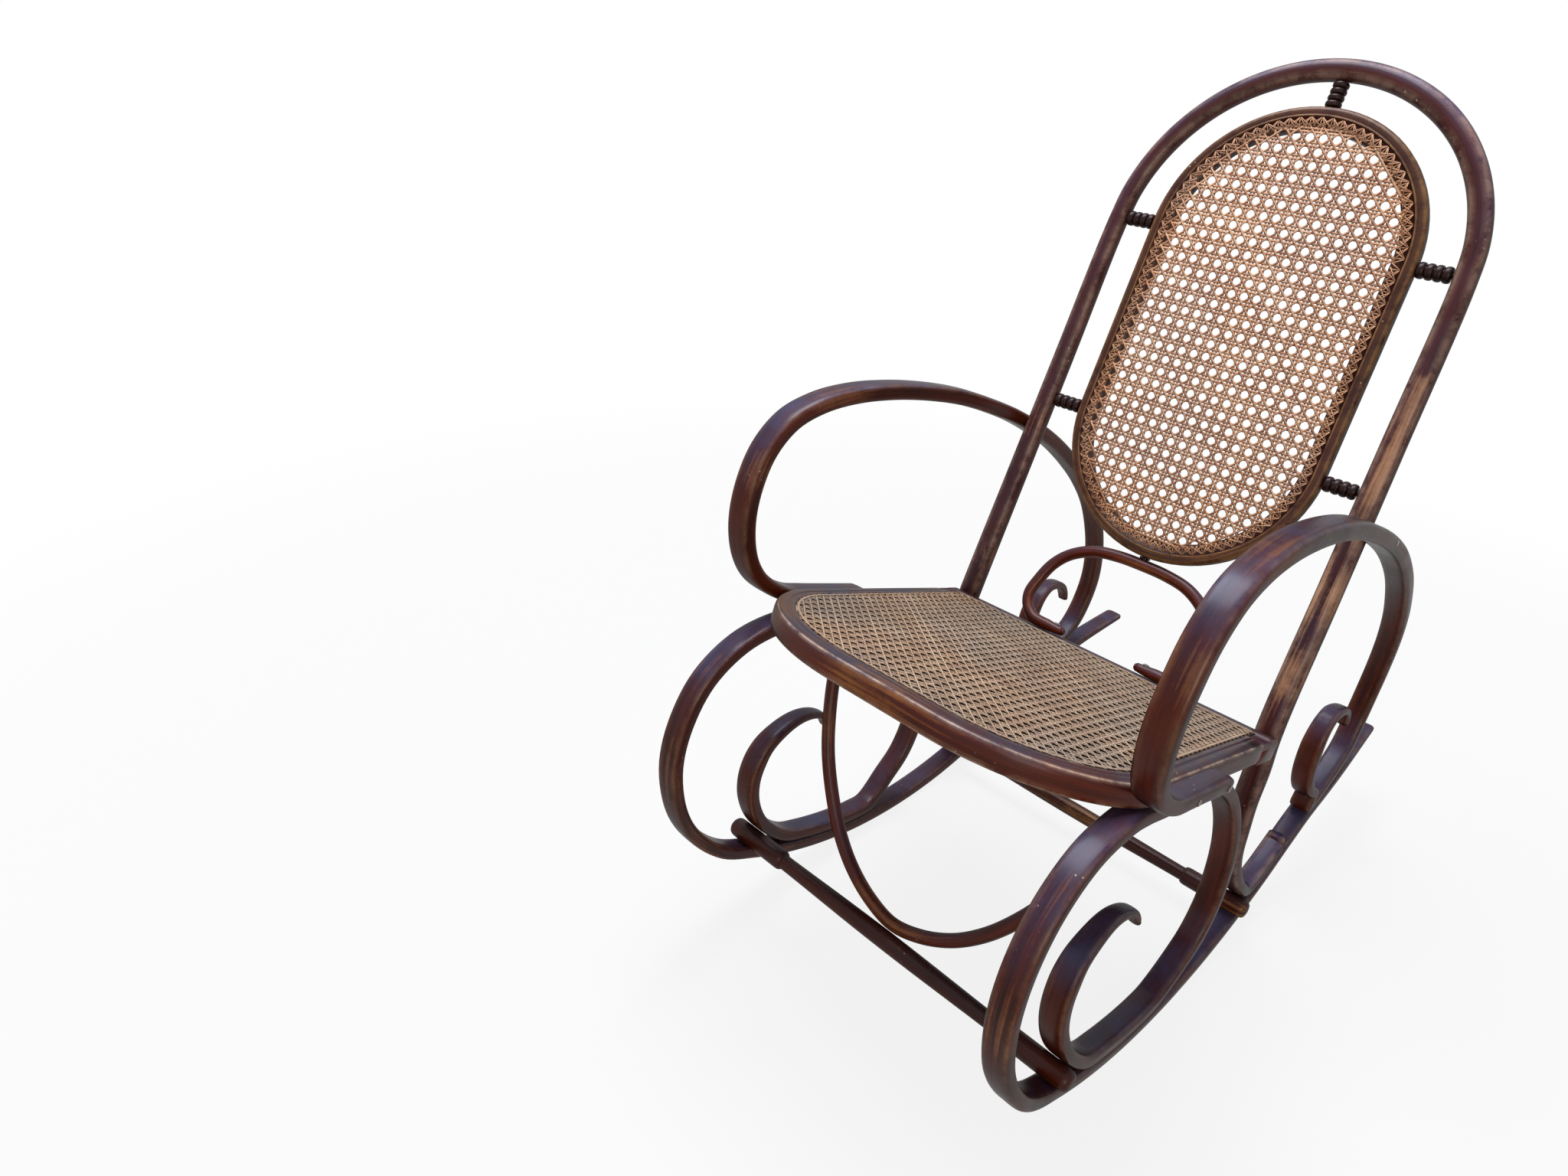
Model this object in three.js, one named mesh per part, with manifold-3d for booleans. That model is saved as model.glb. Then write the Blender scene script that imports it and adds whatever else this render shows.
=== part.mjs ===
// Bentwood rocking chair, in millimetres, +Z up, front towards -Y.
// It is drawn with its seat level, then leans back on its runners to the stretch on which it balances.
// As drawn, y is zero at the back of the seat and z is zero at the lowest point of the runners.
import * as THREE from 'three';
import { mergeGeometries, mergeVertices } from 'three/addons/utils/BufferGeometryUtils.js';
import Module from 'manifold-3d';

const wasm = await Module();
wasm.setup();

// Overall sizes that the bent pieces follow
const HALF_WIDTH = 260;
const SEAT_DEPTH = 497;
const REAR_REACH = 583;
const SEAT_HEIGHT = 395;
const ARM_RISE = 264;
const GAP = 0.3;
const OVERRUN = 20;

// Bentwood stock of the side spirals and arms
const STOCK_WIDTH = 30;
const STOCK_THICKNESS = 18;
const TIP_WIDTH = 15;
const TIP_THICKNESS = 8;
const TIP_TAPER = 170;

// Seat
const RIM_WIDTH = 56;
const RIM_DEPTH = 28;
const RIM_ROUNDING = 3;
const RIM_FACE = 23;
const SEAT_CORNER_ACROSS = 0.692 * HALF_WIDTH;
const SEAT_CORNER_ALONG = 0.312 * SEAT_DEPTH;
const CANE_THICKNESS = 2;
const SEAT_CANE_PITCH = 36;
const SEAT_CANE_STRAND = 22;

// Back
const BACK_RECLINE = 2.3;
const ARCH_RISE = 752;
const POST_WIDTH = 31;
const POST_THICKNESS = 26;
const ARCH_WIDTH = 25;
const ARCH_THICKNESS = 24;
const FOOT_WIDTH = 28;
const FOOT_THICKNESS = 19;

// Caned panel of the back
const PANEL_TOP_RADIUS = 0.619 * HALF_WIDTH;
const PANEL_BOTTOM_RADIUS = 0.631 * HALF_WIDTH;
const PANEL_LENGTH = 571;
const PANEL_FOOT = 138;
const PANEL_RAIL_WIDTH = 27;
const PANEL_RAIL_DEPTH = 20;
const PANEL_FACE = 13;
const PANEL_ROUNDING = 4;
const BACK_CANE_PITCH = 27;
const BACK_CANE_STRAND = 14;

// Turned spacers and boss
const SPACER_RADIUS = 9.5;
const SPACER_NECK = 6.5;
const SPACER_BEADS = 4;
const SPACER_EASE = 1.2;
const TENON_RADIUS = 3.5;
const TENON_LENGTH = 7;
const BOSS_RADIUS = 7;

// Loop between the panel and the seat
const LOOP_HALF_WIDTH = 0.485 * HALF_WIDTH;
const LOOP_RISE = 127;
const LOOP_RADIUS = 8;
const LOOP_END_RADIUS = 5;
const LOOP_END_ACROSS = 0.2 * HALF_WIDTH;
const LOOP_SETBACK = 14;

// Stretchers and front bow
const STRETCHER_RADIUS = 13;
const STRETCHER_WAIST = 9.5;
const STRETCHER_BELLY = 11.5;
const STRETCHER_SHOULDER = 0.358 * HALF_WIDTH;
const STRETCHER_TIP = 7;
const BOW_RADIUS = 8.5;
const BOW_HALF_WIDTH = 0.752 * HALF_WIDTH;
const BOW_TENON_RADIUS = 5;
const BOW_TENON = 12;
const BOW_TENON_INSET = 38;

const X_AXIS = new THREE.Vector3(1, 0, 0);
const Y_AXIS = new THREE.Vector3(0, 1, 0);
const Z_AXIS = new THREE.Vector3(0, 0, 1);
const LAP = STOCK_THICKNESS + GAP;
const seatUnderside = SEAT_HEIGHT - RIM_DEPTH;

const finish = (color, roughness, metalness = 0) => new THREE.MeshStandardMaterial({ color, roughness, metalness });
const materials = {
  bentwood: finish('#4b2722', 0.38),
  turnedwood: finish('#7a4a2a', 0.45),
  darkwood: finish('#1b1110', 0.35),
  panelwood: finish('#6b4426', 0.45),
  backCane: finish('#b18a55', 0.6),
  seatCane: finish('#8f7a62', 0.65),
};

const chair = new THREE.Group();
function add(name, geometry, material) {
  const mesh = new THREE.Mesh(geometry, material);
  mesh.name = name;
  chair.add(mesh);
  return mesh;
}

// A place given in shares: of the half width; of the seat's depth ahead of its back or the reach behind it;
// and of the seat's height, above which each further whole is the rise of the arms.
const upward = (up) => Math.min(up, 1) * SEAT_HEIGHT + Math.max(up - 1, 0) * ARM_RISE;
const lengthwise = (along) => along * (along < 0 ? SEAT_DEPTH : REAR_REACH);
const at = ([across, along, up]) => new THREE.Vector3(across * HALF_WIDTH, lengthwise(along), upward(up));
const mirrored = (point, side) => new THREE.Vector3(side * point.x, point.y, point.z);
const smooth = (points) => new THREE.CatmullRomCurve3(points, false, 'centripetal');

// Solid carried along a line of rings. Each ring has its centre, tangent, first direction and outline,
// whose points run counterclockwise about the tangent.
function loft(rings, closed = false) {
  const positions = [];
  const indices = [];
  const count = rings[0].outline.length;
  for (const { centre, tangent, across, outline } of rings) {
    const first = across.clone().addScaledVector(tangent, -across.dot(tangent)).normalize();
    const second = tangent.clone().cross(first);
    for (const point of outline) {
      const corner = centre.clone().addScaledVector(first, point.x).addScaledVector(second, point.y);
      positions.push(corner.x, corner.y, corner.z);
    }
  }
  const spans = closed ? rings.length : rings.length - 1;
  for (let i = 0; i < spans; i++) {
    const here = i * count;
    const next = ((i + 1) % rings.length) * count;
    for (let j = 0; j < count; j++) {
      const k = (j + 1) % count;
      indices.push(here + j, here + k, next + k, here + j, next + k, next + j);
    }
  }
  if (!closed) {
    const last = (rings.length - 1) * count;
    for (let j = 1; j < count - 1; j++) {
      indices.push(0, j + 1, j, last, last + j, last + j + 1);
    }
  }
  const geometry = new THREE.BufferGeometry();
  geometry.setAttribute('position', new THREE.Float32BufferAttribute(positions, 3));
  geometry.setIndex(indices);
  geometry.computeVertexNormals();
  return geometry;
}

// Flat-sided outline with its corners taken off, and a round one
const FLAT_SHARE = 0.42;
const BROAD_FLAT_SHARE = 0.7;
const OVAL_SHARES = [
  [1, -FLAT_SHARE], [1, FLAT_SHARE], [BROAD_FLAT_SHARE, 1], [-BROAD_FLAT_SHARE, 1],
  [-1, FLAT_SHARE], [-1, -FLAT_SHARE], [-BROAD_FLAT_SHARE, -1], [BROAD_FLAT_SHARE, -1],
];
const flattened = (width, thickness) =>
  OVAL_SHARES.map(([a, b]) => new THREE.Vector2(a * width / 2, b * thickness / 2));
const ROUND_SIDES = 8;
const round = (radius) => Array.from({ length: ROUND_SIDES }, (_, i) => {
  const turn = 2 * Math.PI * i / ROUND_SIDES;
  return new THREE.Vector2(radius * Math.cos(turn), radius * Math.sin(turn));
});

// Rings along a curve, so many from each of its stations to the next
const RINGS_PER_STATION = 2;
function ringsAlong(curve, acrossAt, outlineAt) {
  const steps = (curve.points.length - 1) * RINGS_PER_STATION;
  const places = Array.from({ length: steps + 1 }, (_, i) => curve.getPoint(i / steps));
  const lengths = [0];
  for (let i = 1; i <= steps; i++) {
    lengths.push(lengths[i - 1] + places[i].distanceTo(places[i - 1]));
  }
  return places.map((centre, i) => {
    const tangent = curve.getTangent(i / steps);
    return {
      centre,
      tangent,
      across: acrossAt(tangent, i / steps, centre),
      outline: outlineAt(lengths[i], lengths[steps] - lengths[i], centre),
    };
  });
}

// Cuts closed solids out of a closed solid
function toManifold(geometry) {
  const bare = geometry.clone();
  bare.deleteAttribute('normal');
  bare.deleteAttribute('uv');
  const merged = mergeVertices(bare);
  return new wasm.Manifold(new wasm.Mesh({
    numProp: 3,
    vertProperties: merged.attributes.position.array,
    triVerts: new Uint32Array(merged.index.array),
  }));
}
function cut(geometry, tools) {
  let solid = toManifold(geometry);
  for (const tool of tools) {
    solid = solid.subtract(toManifold(tool));
  }
  const mesh = solid.getMesh();
  const result = new THREE.BufferGeometry();
  result.setAttribute('position', new THREE.BufferAttribute(Float32Array.from(mesh.vertProperties), 3));
  result.setIndex(new THREE.BufferAttribute(Uint32Array.from(mesh.triVerts), 1));
  result.computeVertexNormals();
  return result;
}

// Turned solid from its radii and places along the axis, carried from the Y axis to a place and direction
const TURNED_SIDES = 10;
function turned(profile, place, direction, sides = TURNED_SIDES) {
  const geometry = new THREE.LatheGeometry(profile.map(([radius, along]) => new THREE.Vector2(radius, along)), sides);
  const holder = new THREE.Object3D();
  holder.position.copy(place);
  holder.quaternion.setFromUnitVectors(Y_AXIS, direction);
  holder.updateMatrix();
  return geometry.applyMatrix4(holder.matrix);
}

// Runner of each side, as one line in the side's plane: front hoop, floor arc and rear tail
const HOOP_SHARES = [
  [0.877, -0.789, 0.895], [0.877, -0.901, 0.835], [0.881, -0.98, 0.727], [0.885, -1.01, 0.592],
  [0.892, -1, 0.448], [0.9, -0.938, 0.286], [0.912, -0.847, 0.167],
];
const TAIL_SHARES = [
  [0.908, 0.583, 0.577], [0.908, 0.669, 0.646], [0.905, 0.751, 0.706], [0.898, 0.83, 0.759],
  [0.889, 0.909, 0.808], [0.878, 1, 0.863],
];
const RUNNER_ACROSS_SHARE = 0.908;
const LOWEST_ALONG_SHARE = -0.372;
const ARC_END_ALONG_SHARE = 0.493;
const ARC_END_UP_SHARE = 0.476;
const ARC_FRONT_SHARE = -0.34;
const ARC_SPANS = 11;

const stockBottom = STOCK_THICKNESS / 2;
const arcMiddle = lengthwise(LOWEST_ALONG_SHARE);
const arcReach = lengthwise(ARC_END_ALONG_SHARE) - arcMiddle;
const arcRise = upward(ARC_END_UP_SHARE) - stockBottom;
const arcRadius = (arcReach ** 2 + arcRise ** 2) / (2 * arcRise);
const arcLastTurn = Math.asin(arcReach / arcRadius);
const arcStations = Array.from({ length: ARC_SPANS + 1 }, (_, i) => {
  const turn = THREE.MathUtils.lerp(ARC_FRONT_SHARE, 1, i / ARC_SPANS) * arcLastTurn;
  return new THREE.Vector3(
    RUNNER_ACROSS_SHARE * HALF_WIDTH,
    arcMiddle + arcRadius * Math.sin(turn),
    stockBottom + arcRadius * (1 - Math.cos(turn)),
  );
});
const runnerStations = [...HOOP_SHARES.map(at), ...arcStations, ...TAIL_SHARES.map(at)];
const runner = smooth(runnerStations);

// A place over the runner, counted in stations of its floor arc and lifted square off its middle line
function onRunner(station, lift) {
  const share = (HOOP_SHARES.length + station) / (runnerStations.length - 1);
  const normal = X_AXIS.clone().cross(runner.getTangent(share)).normalize();
  return runner.getPoint(share).addScaledVector(normal, lift);
}

// Stations of a piece that comes down on to the runner, each with its rise as a share of the stock
const lapOnRunner = (shares, lift) =>
  shares.map(([station, rise]) => onRunner(station, lift + rise * STOCK_THICKNESS));

// Side spiral: front scroll, lap on the runner, front leg, lap under the seat, front hoop and runner
const SCROLL_SHARES = [
  [0.888, -0.457, 0.504], [0.88, -0.491, 0.543], [0.873, -0.543, 0.561], [0.868, -0.602, 0.555],
  [0.867, -0.654, 0.524], [0.867, -0.702, 0.466], [0.871, -0.716, 0.382], [0.877, -0.7, 0.3],
  [0.886, -0.656, 0.218], [0.898, -0.592, 0.148],
];
const SCROLL_LAP_SHARES = [[1.9, 0.1], [2.6, 0.01], [3.3, 0], [3.9, 0], [4.5, 0.04], [5, 0.24]];
const LEG_SHARES = [
  [0.919, -0.04, 0.215], [0.923, 0.003, 0.304], [0.923, 0.014, 0.418], [0.919, -0.004, 0.537],
  [0.912, -0.044, 0.646], [0.9, -0.105, 0.747], [0.888, -0.185, 0.83], [0.882, -0.26, 0.877],
];
const SEAT_LAP_SHARES = [[0.879, -0.332, 0.07], [0.877, -0.433, 0], [0.877, -0.54, 0], [0.877, -0.64, 0],
  [0.877, -0.72, 0.01]];
const seatLapHeight = seatUnderside - GAP - stockBottom;
const spiralStations = [
  ...SCROLL_SHARES.map(at),
  ...lapOnRunner(SCROLL_LAP_SHARES, LAP),
  ...LEG_SHARES.map(at),
  ...SEAT_LAP_SHARES.map(([across, along, drop]) =>
    new THREE.Vector3(across * HALF_WIDTH, lengthwise(along), seatLapHeight - drop * STOCK_THICKNESS)),
  ...runnerStations,
];

// Arm: tab housed in the seat, front bend, top, rear fall, lap on the runner's tail and rear scroll
const TAB_SHARES = [[0.96, -0.44, 0.36], [0.96, -0.52, 0.36], [0.96, -0.6, 0.36], [0.961, -0.67, 0.37], [0.963, -0.735, 0.42]];
const ARM_SHARES = [
  [0.966, -0.805, 0.992], [0.97, -0.868, 1.045], [0.974, -0.916, 1.14], [0.977, -0.95, 1.284],
  [0.98, -0.958, 1.443], [0.98, -0.943, 1.598], [0.978, -0.897, 1.731], [0.974, -0.819, 1.826],
  [0.97, -0.712, 1.898], [0.965, -0.579, 1.951], [0.96, -0.433, 1.985], [0.956, -0.288, 2],
  [0.954, -0.137, 1.992], [0.954, 0, 1.973], [0.954, 0.129, 1.932], [0.95, 0.252, 1.871],
  [0.946, 0.365, 1.792], [0.938, 0.468, 1.697], [0.931, 0.566, 1.572], [0.923, 0.64, 1.424],
  [0.912, 0.698, 1.254], [0.904, 0.732, 1.076], [0.904, 0.738, 0.927], [0.908, 0.719, 0.815],
];
const ARM_LAP_SHARES = [[12.9, 0.32], [12.5, 0.06], [12.2, 0.02], [11.95, 0.18]];
const REAR_SCROLL_SHARES = [
  [0.91, 0.552, 0.672], [0.903, 0.504, 0.7], [0.898, 0.466, 0.74], [0.894, 0.438, 0.795],
  [0.892, 0.422, 0.855], [0.89, 0.42, 0.913], [0.89, 0.431, 0.963], [0.892, 0.457, 1],
  [0.896, 0.49, 1.016], [0.9, 0.525, 1.016], [0.902, 0.558, 1], [0.904, 0.586, 0.974],
  [0.905, 0.607, 0.94],
];
const tabHeight = seatUnderside + stockBottom;
const armStations = [
  ...TAB_SHARES.map(([across, along, rise]) =>
    new THREE.Vector3(across * HALF_WIDTH, lengthwise(along), tabHeight + rise * STOCK_THICKNESS)),
  ...ARM_SHARES.map(at),
  ...lapOnRunner(ARM_LAP_SHARES, LAP),
  ...REAR_SCROLL_SHARES.map(at),
];

// Outline of the stock. Towards a scroll's tip it is drawn in, and the runner's tail is only thinned.
const BLUNT_SHARE = 0.6;
function stockOutline(tipDistance, tailDistance, extra, widen = 1, thicken = 1) {
  const taper = Math.min(1, tipDistance / TIP_TAPER);
  const thinning = Math.min(taper, tailDistance / TIP_TAPER);
  const near = Math.min(tipDistance, tailDistance);
  const blunt = THREE.MathUtils.lerp(BLUNT_SHARE, 1, Math.min(1, near / TIP_THICKNESS));
  return flattened(
    blunt * THREE.MathUtils.lerp(TIP_WIDTH, STOCK_WIDTH * widen, taper) + 2 * extra,
    blunt * THREE.MathUtils.lerp(TIP_THICKNESS, STOCK_THICKNESS * thicken, thinning) + 2 * extra,
  );
}
const sideways = () => X_AXIS;
const spiralGeometry = (side, extra) => loft(ringsAlong(
  smooth(spiralStations.map((point) => mirrored(point, side))),
  sideways,
  (start, end) => stockOutline(start, end, extra),
));

// Arms are stouter than the stock: how far along each is, and how wide and thick it is there against the stock
const ARM_STOCK_SHARES = [
  [0, 1, 1], [0.08, 1.02, 1.02], [0.15, 1.06, 1.1], [0.3, 1.05, 1.13], [0.5, 1.03, 1.15], [0.62, 1.02, 1.12],
  [0.7, 1, 1], [1, 0.96, 1],
];
function armStock(share) {
  const next = Math.max(1, ARM_STOCK_SHARES.findIndex(([along]) => along >= share));
  const [low, high] = [ARM_STOCK_SHARES[next - 1], ARM_STOCK_SHARES[next]];
  const part = (share - low[0]) / (high[0] - low[0]);
  return [1, 2].map((k) => THREE.MathUtils.lerp(low[k], high[k], part));
}
const armGeometry = (side, extra) => loft(ringsAlong(
  smooth(armStations.map((point) => mirrored(point, side))),
  sideways,
  (start, end) => stockOutline(end, start + end, extra, ...armStock(start / (start + end))),
));
const widerArms = [armGeometry(1, GAP), armGeometry(-1, GAP)];

// Back: its pieces lie in a plane, placed by their distance across, height above the seat and way forward
const recline = THREE.MathUtils.degToRad(BACK_RECLINE);
const backUp = new THREE.Vector3(0, Math.sin(recline), Math.cos(recline));
const backFront = new THREE.Vector3(0, -Math.cos(recline), Math.sin(recline));
const postSetback = POST_THICKNESS / 2 + GAP + RIM_DEPTH * Math.tan(recline);
const inBack = (across, rise, forward = 0) => new THREE.Vector3(across, postSetback, SEAT_HEIGHT)
  .addScaledVector(backUp, rise).addScaledVector(backFront, forward);
const backPlane = new THREE.Matrix4().makeBasis(X_AXIS, backUp, backFront).setPosition(inBack(0, 0));

const POST_ACROSS_SHARE = 0.858;
const ARCH_RADIUS_SHARE = 0.815;
const archRadius = ARCH_RADIUS_SHARE * HALF_WIDTH;
const archCentre = ARCH_RISE - archRadius;
const postAcross = (rise) => THREE.MathUtils.lerp(POST_ACROSS_SHARE * HALF_WIDTH, archRadius, rise / archCentre);
const postWidth = (rise) =>
  THREE.MathUtils.lerp(POST_WIDTH, ARCH_WIDTH, THREE.MathUtils.clamp(rise / archCentre, 0, 1));

// Rear leg: the post's lower end bends back over the rear stretcher and lies along the runner
const REAR_LEG_SHARES = [
  [0.873, 0.034, 0.873], [0.877, 0.046, 0.759], [0.885, 0.065, 0.663], [0.892, 0.094, 0.562],
  [0.9, 0.148, 0.474], [0.909, 0.214, 0.408],
];
const FOOT_LAP_SHARES = [[9.15, 0.34], [9.55, 0.08], [9.95, 0.01], [10.4, 0], [11, 0]];
const footLift = stockBottom + FOOT_THICKNESS / 2 + GAP;
const POST_RISE_SHARES = [0, 0.33, 0.66];
const ARCH_STEPS = 7;
const halfHoop = [
  ...lapOnRunner(FOOT_LAP_SHARES, footLift).reverse(),
  ...REAR_LEG_SHARES.map(at).reverse(),
  ...POST_RISE_SHARES.map((share) => inBack(postAcross(share * archCentre), share * archCentre)),
  ...Array.from({ length: ARCH_STEPS }, (_, i) => {
    const turn = Math.PI / 2 * i / ARCH_STEPS;
    return inBack(archRadius * Math.cos(turn), archCentre + archRadius * Math.sin(turn));
  }),
];
const hoopCurve = smooth([
  ...halfHoop,
  inBack(0, archCentre + archRadius),
  ...halfHoop.map((point) => mirrored(point, -1)).reverse(),
]);
// The hoop is thickest at the seat and thins towards the arch and the feet.
function hoopOutline(start, end, centre) {
  const rise = centre.z - SEAT_HEIGHT;
  const upper = THREE.MathUtils.clamp(rise / archCentre, 0, 1);
  const lower = THREE.MathUtils.clamp(-rise / (SEAT_HEIGHT / 2), 0, 1);
  const towards = (seat, arch, foot) =>
    seat + upper * (arch - seat) + lower * (foot - seat);
  return flattened(
    towards(POST_THICKNESS, ARCH_THICKNESS, FOOT_THICKNESS),
    towards(POST_WIDTH, ARCH_WIDTH, FOOT_WIDTH),
  );
}
function hoopFront(tangent, share, centre) {
  if (centre.z > SEAT_HEIGHT) return backFront;
  return X_AXIS.clone().cross(tangent).multiplyScalar(share < 1 / 2 ? 1 : -1).normalize();
}
const hoopGeometry = loft(ringsAlong(hoopCurve, hoopFront, hoopOutline));

// Panel: an outline with a round top and a slightly wider round bottom, drawn in by an inset
const PANEL_ARC_STEPS = 12;
const PANEL_SIDE_STEPS = 2;
const panelTop = PANEL_FOOT + PANEL_LENGTH;
function panelOutline(inset) {
  const top = panelTop - PANEL_TOP_RADIUS;
  const bottom = PANEL_FOOT + PANEL_BOTTOM_RADIUS;
  const points = [];
  for (let i = 0; i <= PANEL_ARC_STEPS; i++) {
    const turn = Math.PI * i / PANEL_ARC_STEPS;
    const radius = PANEL_TOP_RADIUS - inset;
    points.push(new THREE.Vector2(radius * Math.cos(turn), top + radius * Math.sin(turn)));
  }
  for (let i = 0; i <= PANEL_ARC_STEPS; i++) {
    const turn = Math.PI * (1 + i / PANEL_ARC_STEPS);
    const radius = PANEL_BOTTOM_RADIUS - inset;
    points.push(new THREE.Vector2(radius * Math.cos(turn), bottom + radius * Math.sin(turn)));
  }
  return points;
}
const panelHalfWidth = (rise) => THREE.MathUtils.mapLinear(
  rise, PANEL_FOOT + PANEL_BOTTOM_RADIUS, panelTop - PANEL_TOP_RADIUS, PANEL_BOTTOM_RADIUS, PANEL_TOP_RADIUS,
);
const panelMiddle = panelOutline(PANEL_RAIL_WIDTH / 2);
const panelRings = panelMiddle.map((point, i) => {
  const count = panelMiddle.length;
  const along = panelMiddle[(i + 1) % count].clone().sub(panelMiddle[(i + count - 1) % count]).normalize();
  const tangent = X_AXIS.clone().multiplyScalar(along.x).addScaledVector(backUp, along.y);
  return {
    centre: inBack(point.x, point.y),
    tangent,
    across: backFront,
    outline: flattened(PANEL_RAIL_DEPTH, PANEL_RAIL_WIDTH),
  };
});

// Flat plate from an outline, from one level to another, and a sheet of cane with its gaps cut through
function plate(outline, from, to) {
  const geometry = new THREE.ExtrudeGeometry(new THREE.Shape(outline), { depth: to - from, bevelEnabled: false });
  return geometry.translate(0, 0, from);
}
function caneSheet(outline, from, to, gaps) {
  return cut(plate(outline, from, to), [mergeGeometries(gaps.map((gap) => plate(gap, from - GAP, to + GAP)))]);
}
function inside(outline, point) {
  let within = false;
  for (let i = 0, j = outline.length - 1; i < outline.length; j = i++) {
    const a = outline[i];
    const b = outline[j];
    const crosses = (a.y > point.y) !== (b.y > point.y);
    if (crosses && point.x < (b.x - a.x) * (point.y - a.y) / (b.y - a.y) + a.x) within = !within;
  }
  return within;
}
// Square gaps between the strands, wherever the whole gap lies within the inner outline
function caneGaps(inner, pitch, strand) {
  const box = new THREE.Box2().setFromPoints(inner);
  const size = box.getSize(new THREE.Vector2());
  const middle = box.getCenter(new THREE.Vector2());
  const columns = Math.floor(size.x / pitch);
  const rows = Math.floor(size.y / pitch);
  const half = (pitch - strand) / 2;
  const gaps = [];
  for (let column = 0; column < columns; column++) {
    for (let row = 0; row < rows; row++) {
      const x = middle.x + (column - (columns - 1) / 2) * pitch;
      const y = middle.y + (row - (rows - 1) / 2) * pitch;
      const corners = [[-half, -half], [-half, half], [half, half], [half, -half]]
        .map(([dx, dy]) => new THREE.Vector2(x + dx, y + dy));
      if (corners.every((corner) => inside(inner, corner))) gaps.push(corners);
    }
  }
  return gaps;
}
const rebate = CANE_THICKNESS + GAP;
const panelFaceLevel = PANEL_RAIL_DEPTH / 2;
const backCane = caneSheet(
  panelOutline(PANEL_FACE), panelFaceLevel - CANE_THICKNESS, panelFaceLevel,
  caneGaps(panelOutline(PANEL_RAIL_WIDTH), BACK_CANE_PITCH, BACK_CANE_STRAND),
).applyMatrix4(backPlane);
const panelRebate = plate(
  panelOutline(PANEL_FACE - GAP), panelFaceLevel - rebate, panelFaceLevel + OVERRUN,
).applyMatrix4(backPlane);

// Turned spacers hold the panel in the hoop, each with a tenon in both. A tenon's hole is a little larger.
const BEAD_SHARES = [[0, 0], [0.8, 0.2], [1, 0.5], [0.8, 0.8]];
function spacerProfile(length) {
  const bead = length / SPACER_BEADS;
  const profile = [[0, -TENON_LENGTH], [TENON_RADIUS, -TENON_LENGTH], [TENON_RADIUS, 0]];
  for (let i = 0; i < SPACER_BEADS; i++) {
    for (const [out, along] of BEAD_SHARES) {
      profile.push([THREE.MathUtils.lerp(SPACER_NECK, SPACER_RADIUS, out), (i + along) * bead]);
    }
  }
  profile.push([SPACER_NECK, length], [TENON_RADIUS, length]);
  profile.push([TENON_RADIUS, length + TENON_LENGTH], [0, length + TENON_LENGTH]);
  return profile;
}
const tenonHoleRadius = TENON_RADIUS + 2 * GAP;
function tenonHole(place, direction, length) {
  const reach = TENON_LENGTH + GAP;
  return turned(
    [[0, -reach], [tenonHoleRadius, -reach], [tenonHoleRadius, length + reach], [0, length + reach]],
    place, direction, ROUND_SIDES,
  );
}
const SIDE_SPACER_SHARES = { upper: 1, lower: -0.025 };
const spacers = [];
for (const [level, share] of Object.entries(SIDE_SPACER_SHARES)) {
  for (const [hand, side] of [['left', 1], ['right', -1]]) {
    const rise = THREE.MathUtils.lerp(PANEL_FOOT + PANEL_BOTTOM_RADIUS, panelTop - PANEL_TOP_RADIUS, share);
    const from = panelHalfWidth(rise) + GAP;
    const length = postAcross(rise) - postWidth(rise) / 2 - SPACER_EASE - from;
    spacers.push({
      name: `spacer_${level}_${hand}`,
      place: inBack(side * from, rise),
      direction: X_AXIS.clone().multiplyScalar(side),
      length,
    });
  }
}
spacers.push({
  name: 'spacer_top',
  place: inBack(0, panelTop + GAP),
  direction: backUp,
  length: ARCH_RISE - ARCH_WIDTH / 2 - SPACER_EASE - panelTop - GAP,
});
const spacerHoles = spacers.map(({ place, direction, length }) => tenonHole(place, direction, length));

// Loop under the panel: a bent rod that stands on the rear rail of the seat
const LOOP_SHARES = [
  [0, 1], [0.28, 0.99], [0.54, 0.94], [0.76, 0.81], [0.89, 0.64], [0.96, 0.42], [0.985, 0.24], [0.93, 0.11],
];
const loopSetback = postSetback + LOOP_SETBACK;
const loopFoot = LOOP_RADIUS + GAP;
const halfLoop = LOOP_SHARES.slice(1).map(([across, up]) => {
  const point = inBack(across * LOOP_HALF_WIDTH, loopFoot + up * (LOOP_RISE - loopFoot));
  point.y -= loopSetback * (1 - up);
  return point;
});
const LOOP_FOOT_STEPS = 2;
for (let i = 0; i <= LOOP_FOOT_STEPS; i++) {
  const from = LOOP_HALF_WIDTH - LOOP_RADIUS * 3;
  const across = THREE.MathUtils.lerp(from, LOOP_END_ACROSS, i / LOOP_FOOT_STEPS);
  halfLoop.push(new THREE.Vector3(across, -LOOP_SETBACK, SEAT_HEIGHT + loopFoot + (i ? 0 : LOOP_RADIUS / 4)));
}
const loopCurve = smooth([
  ...halfLoop.map((point) => mirrored(point, -1)).reverse(),
  inBack(0, LOOP_RISE),
  ...halfLoop,
]);
const loopAcross = (tangent) => tangent.clone().cross(Y_AXIS).normalize();
const loopGeometry = loft(ringsAlong(loopCurve, loopAcross, (start, end) => {
  const taper = Math.min(1, Math.min(start, end) / (LOOP_RADIUS * 4));
  return round(THREE.MathUtils.lerp(LOOP_END_RADIUS, LOOP_RADIUS, taper));
}));

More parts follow.
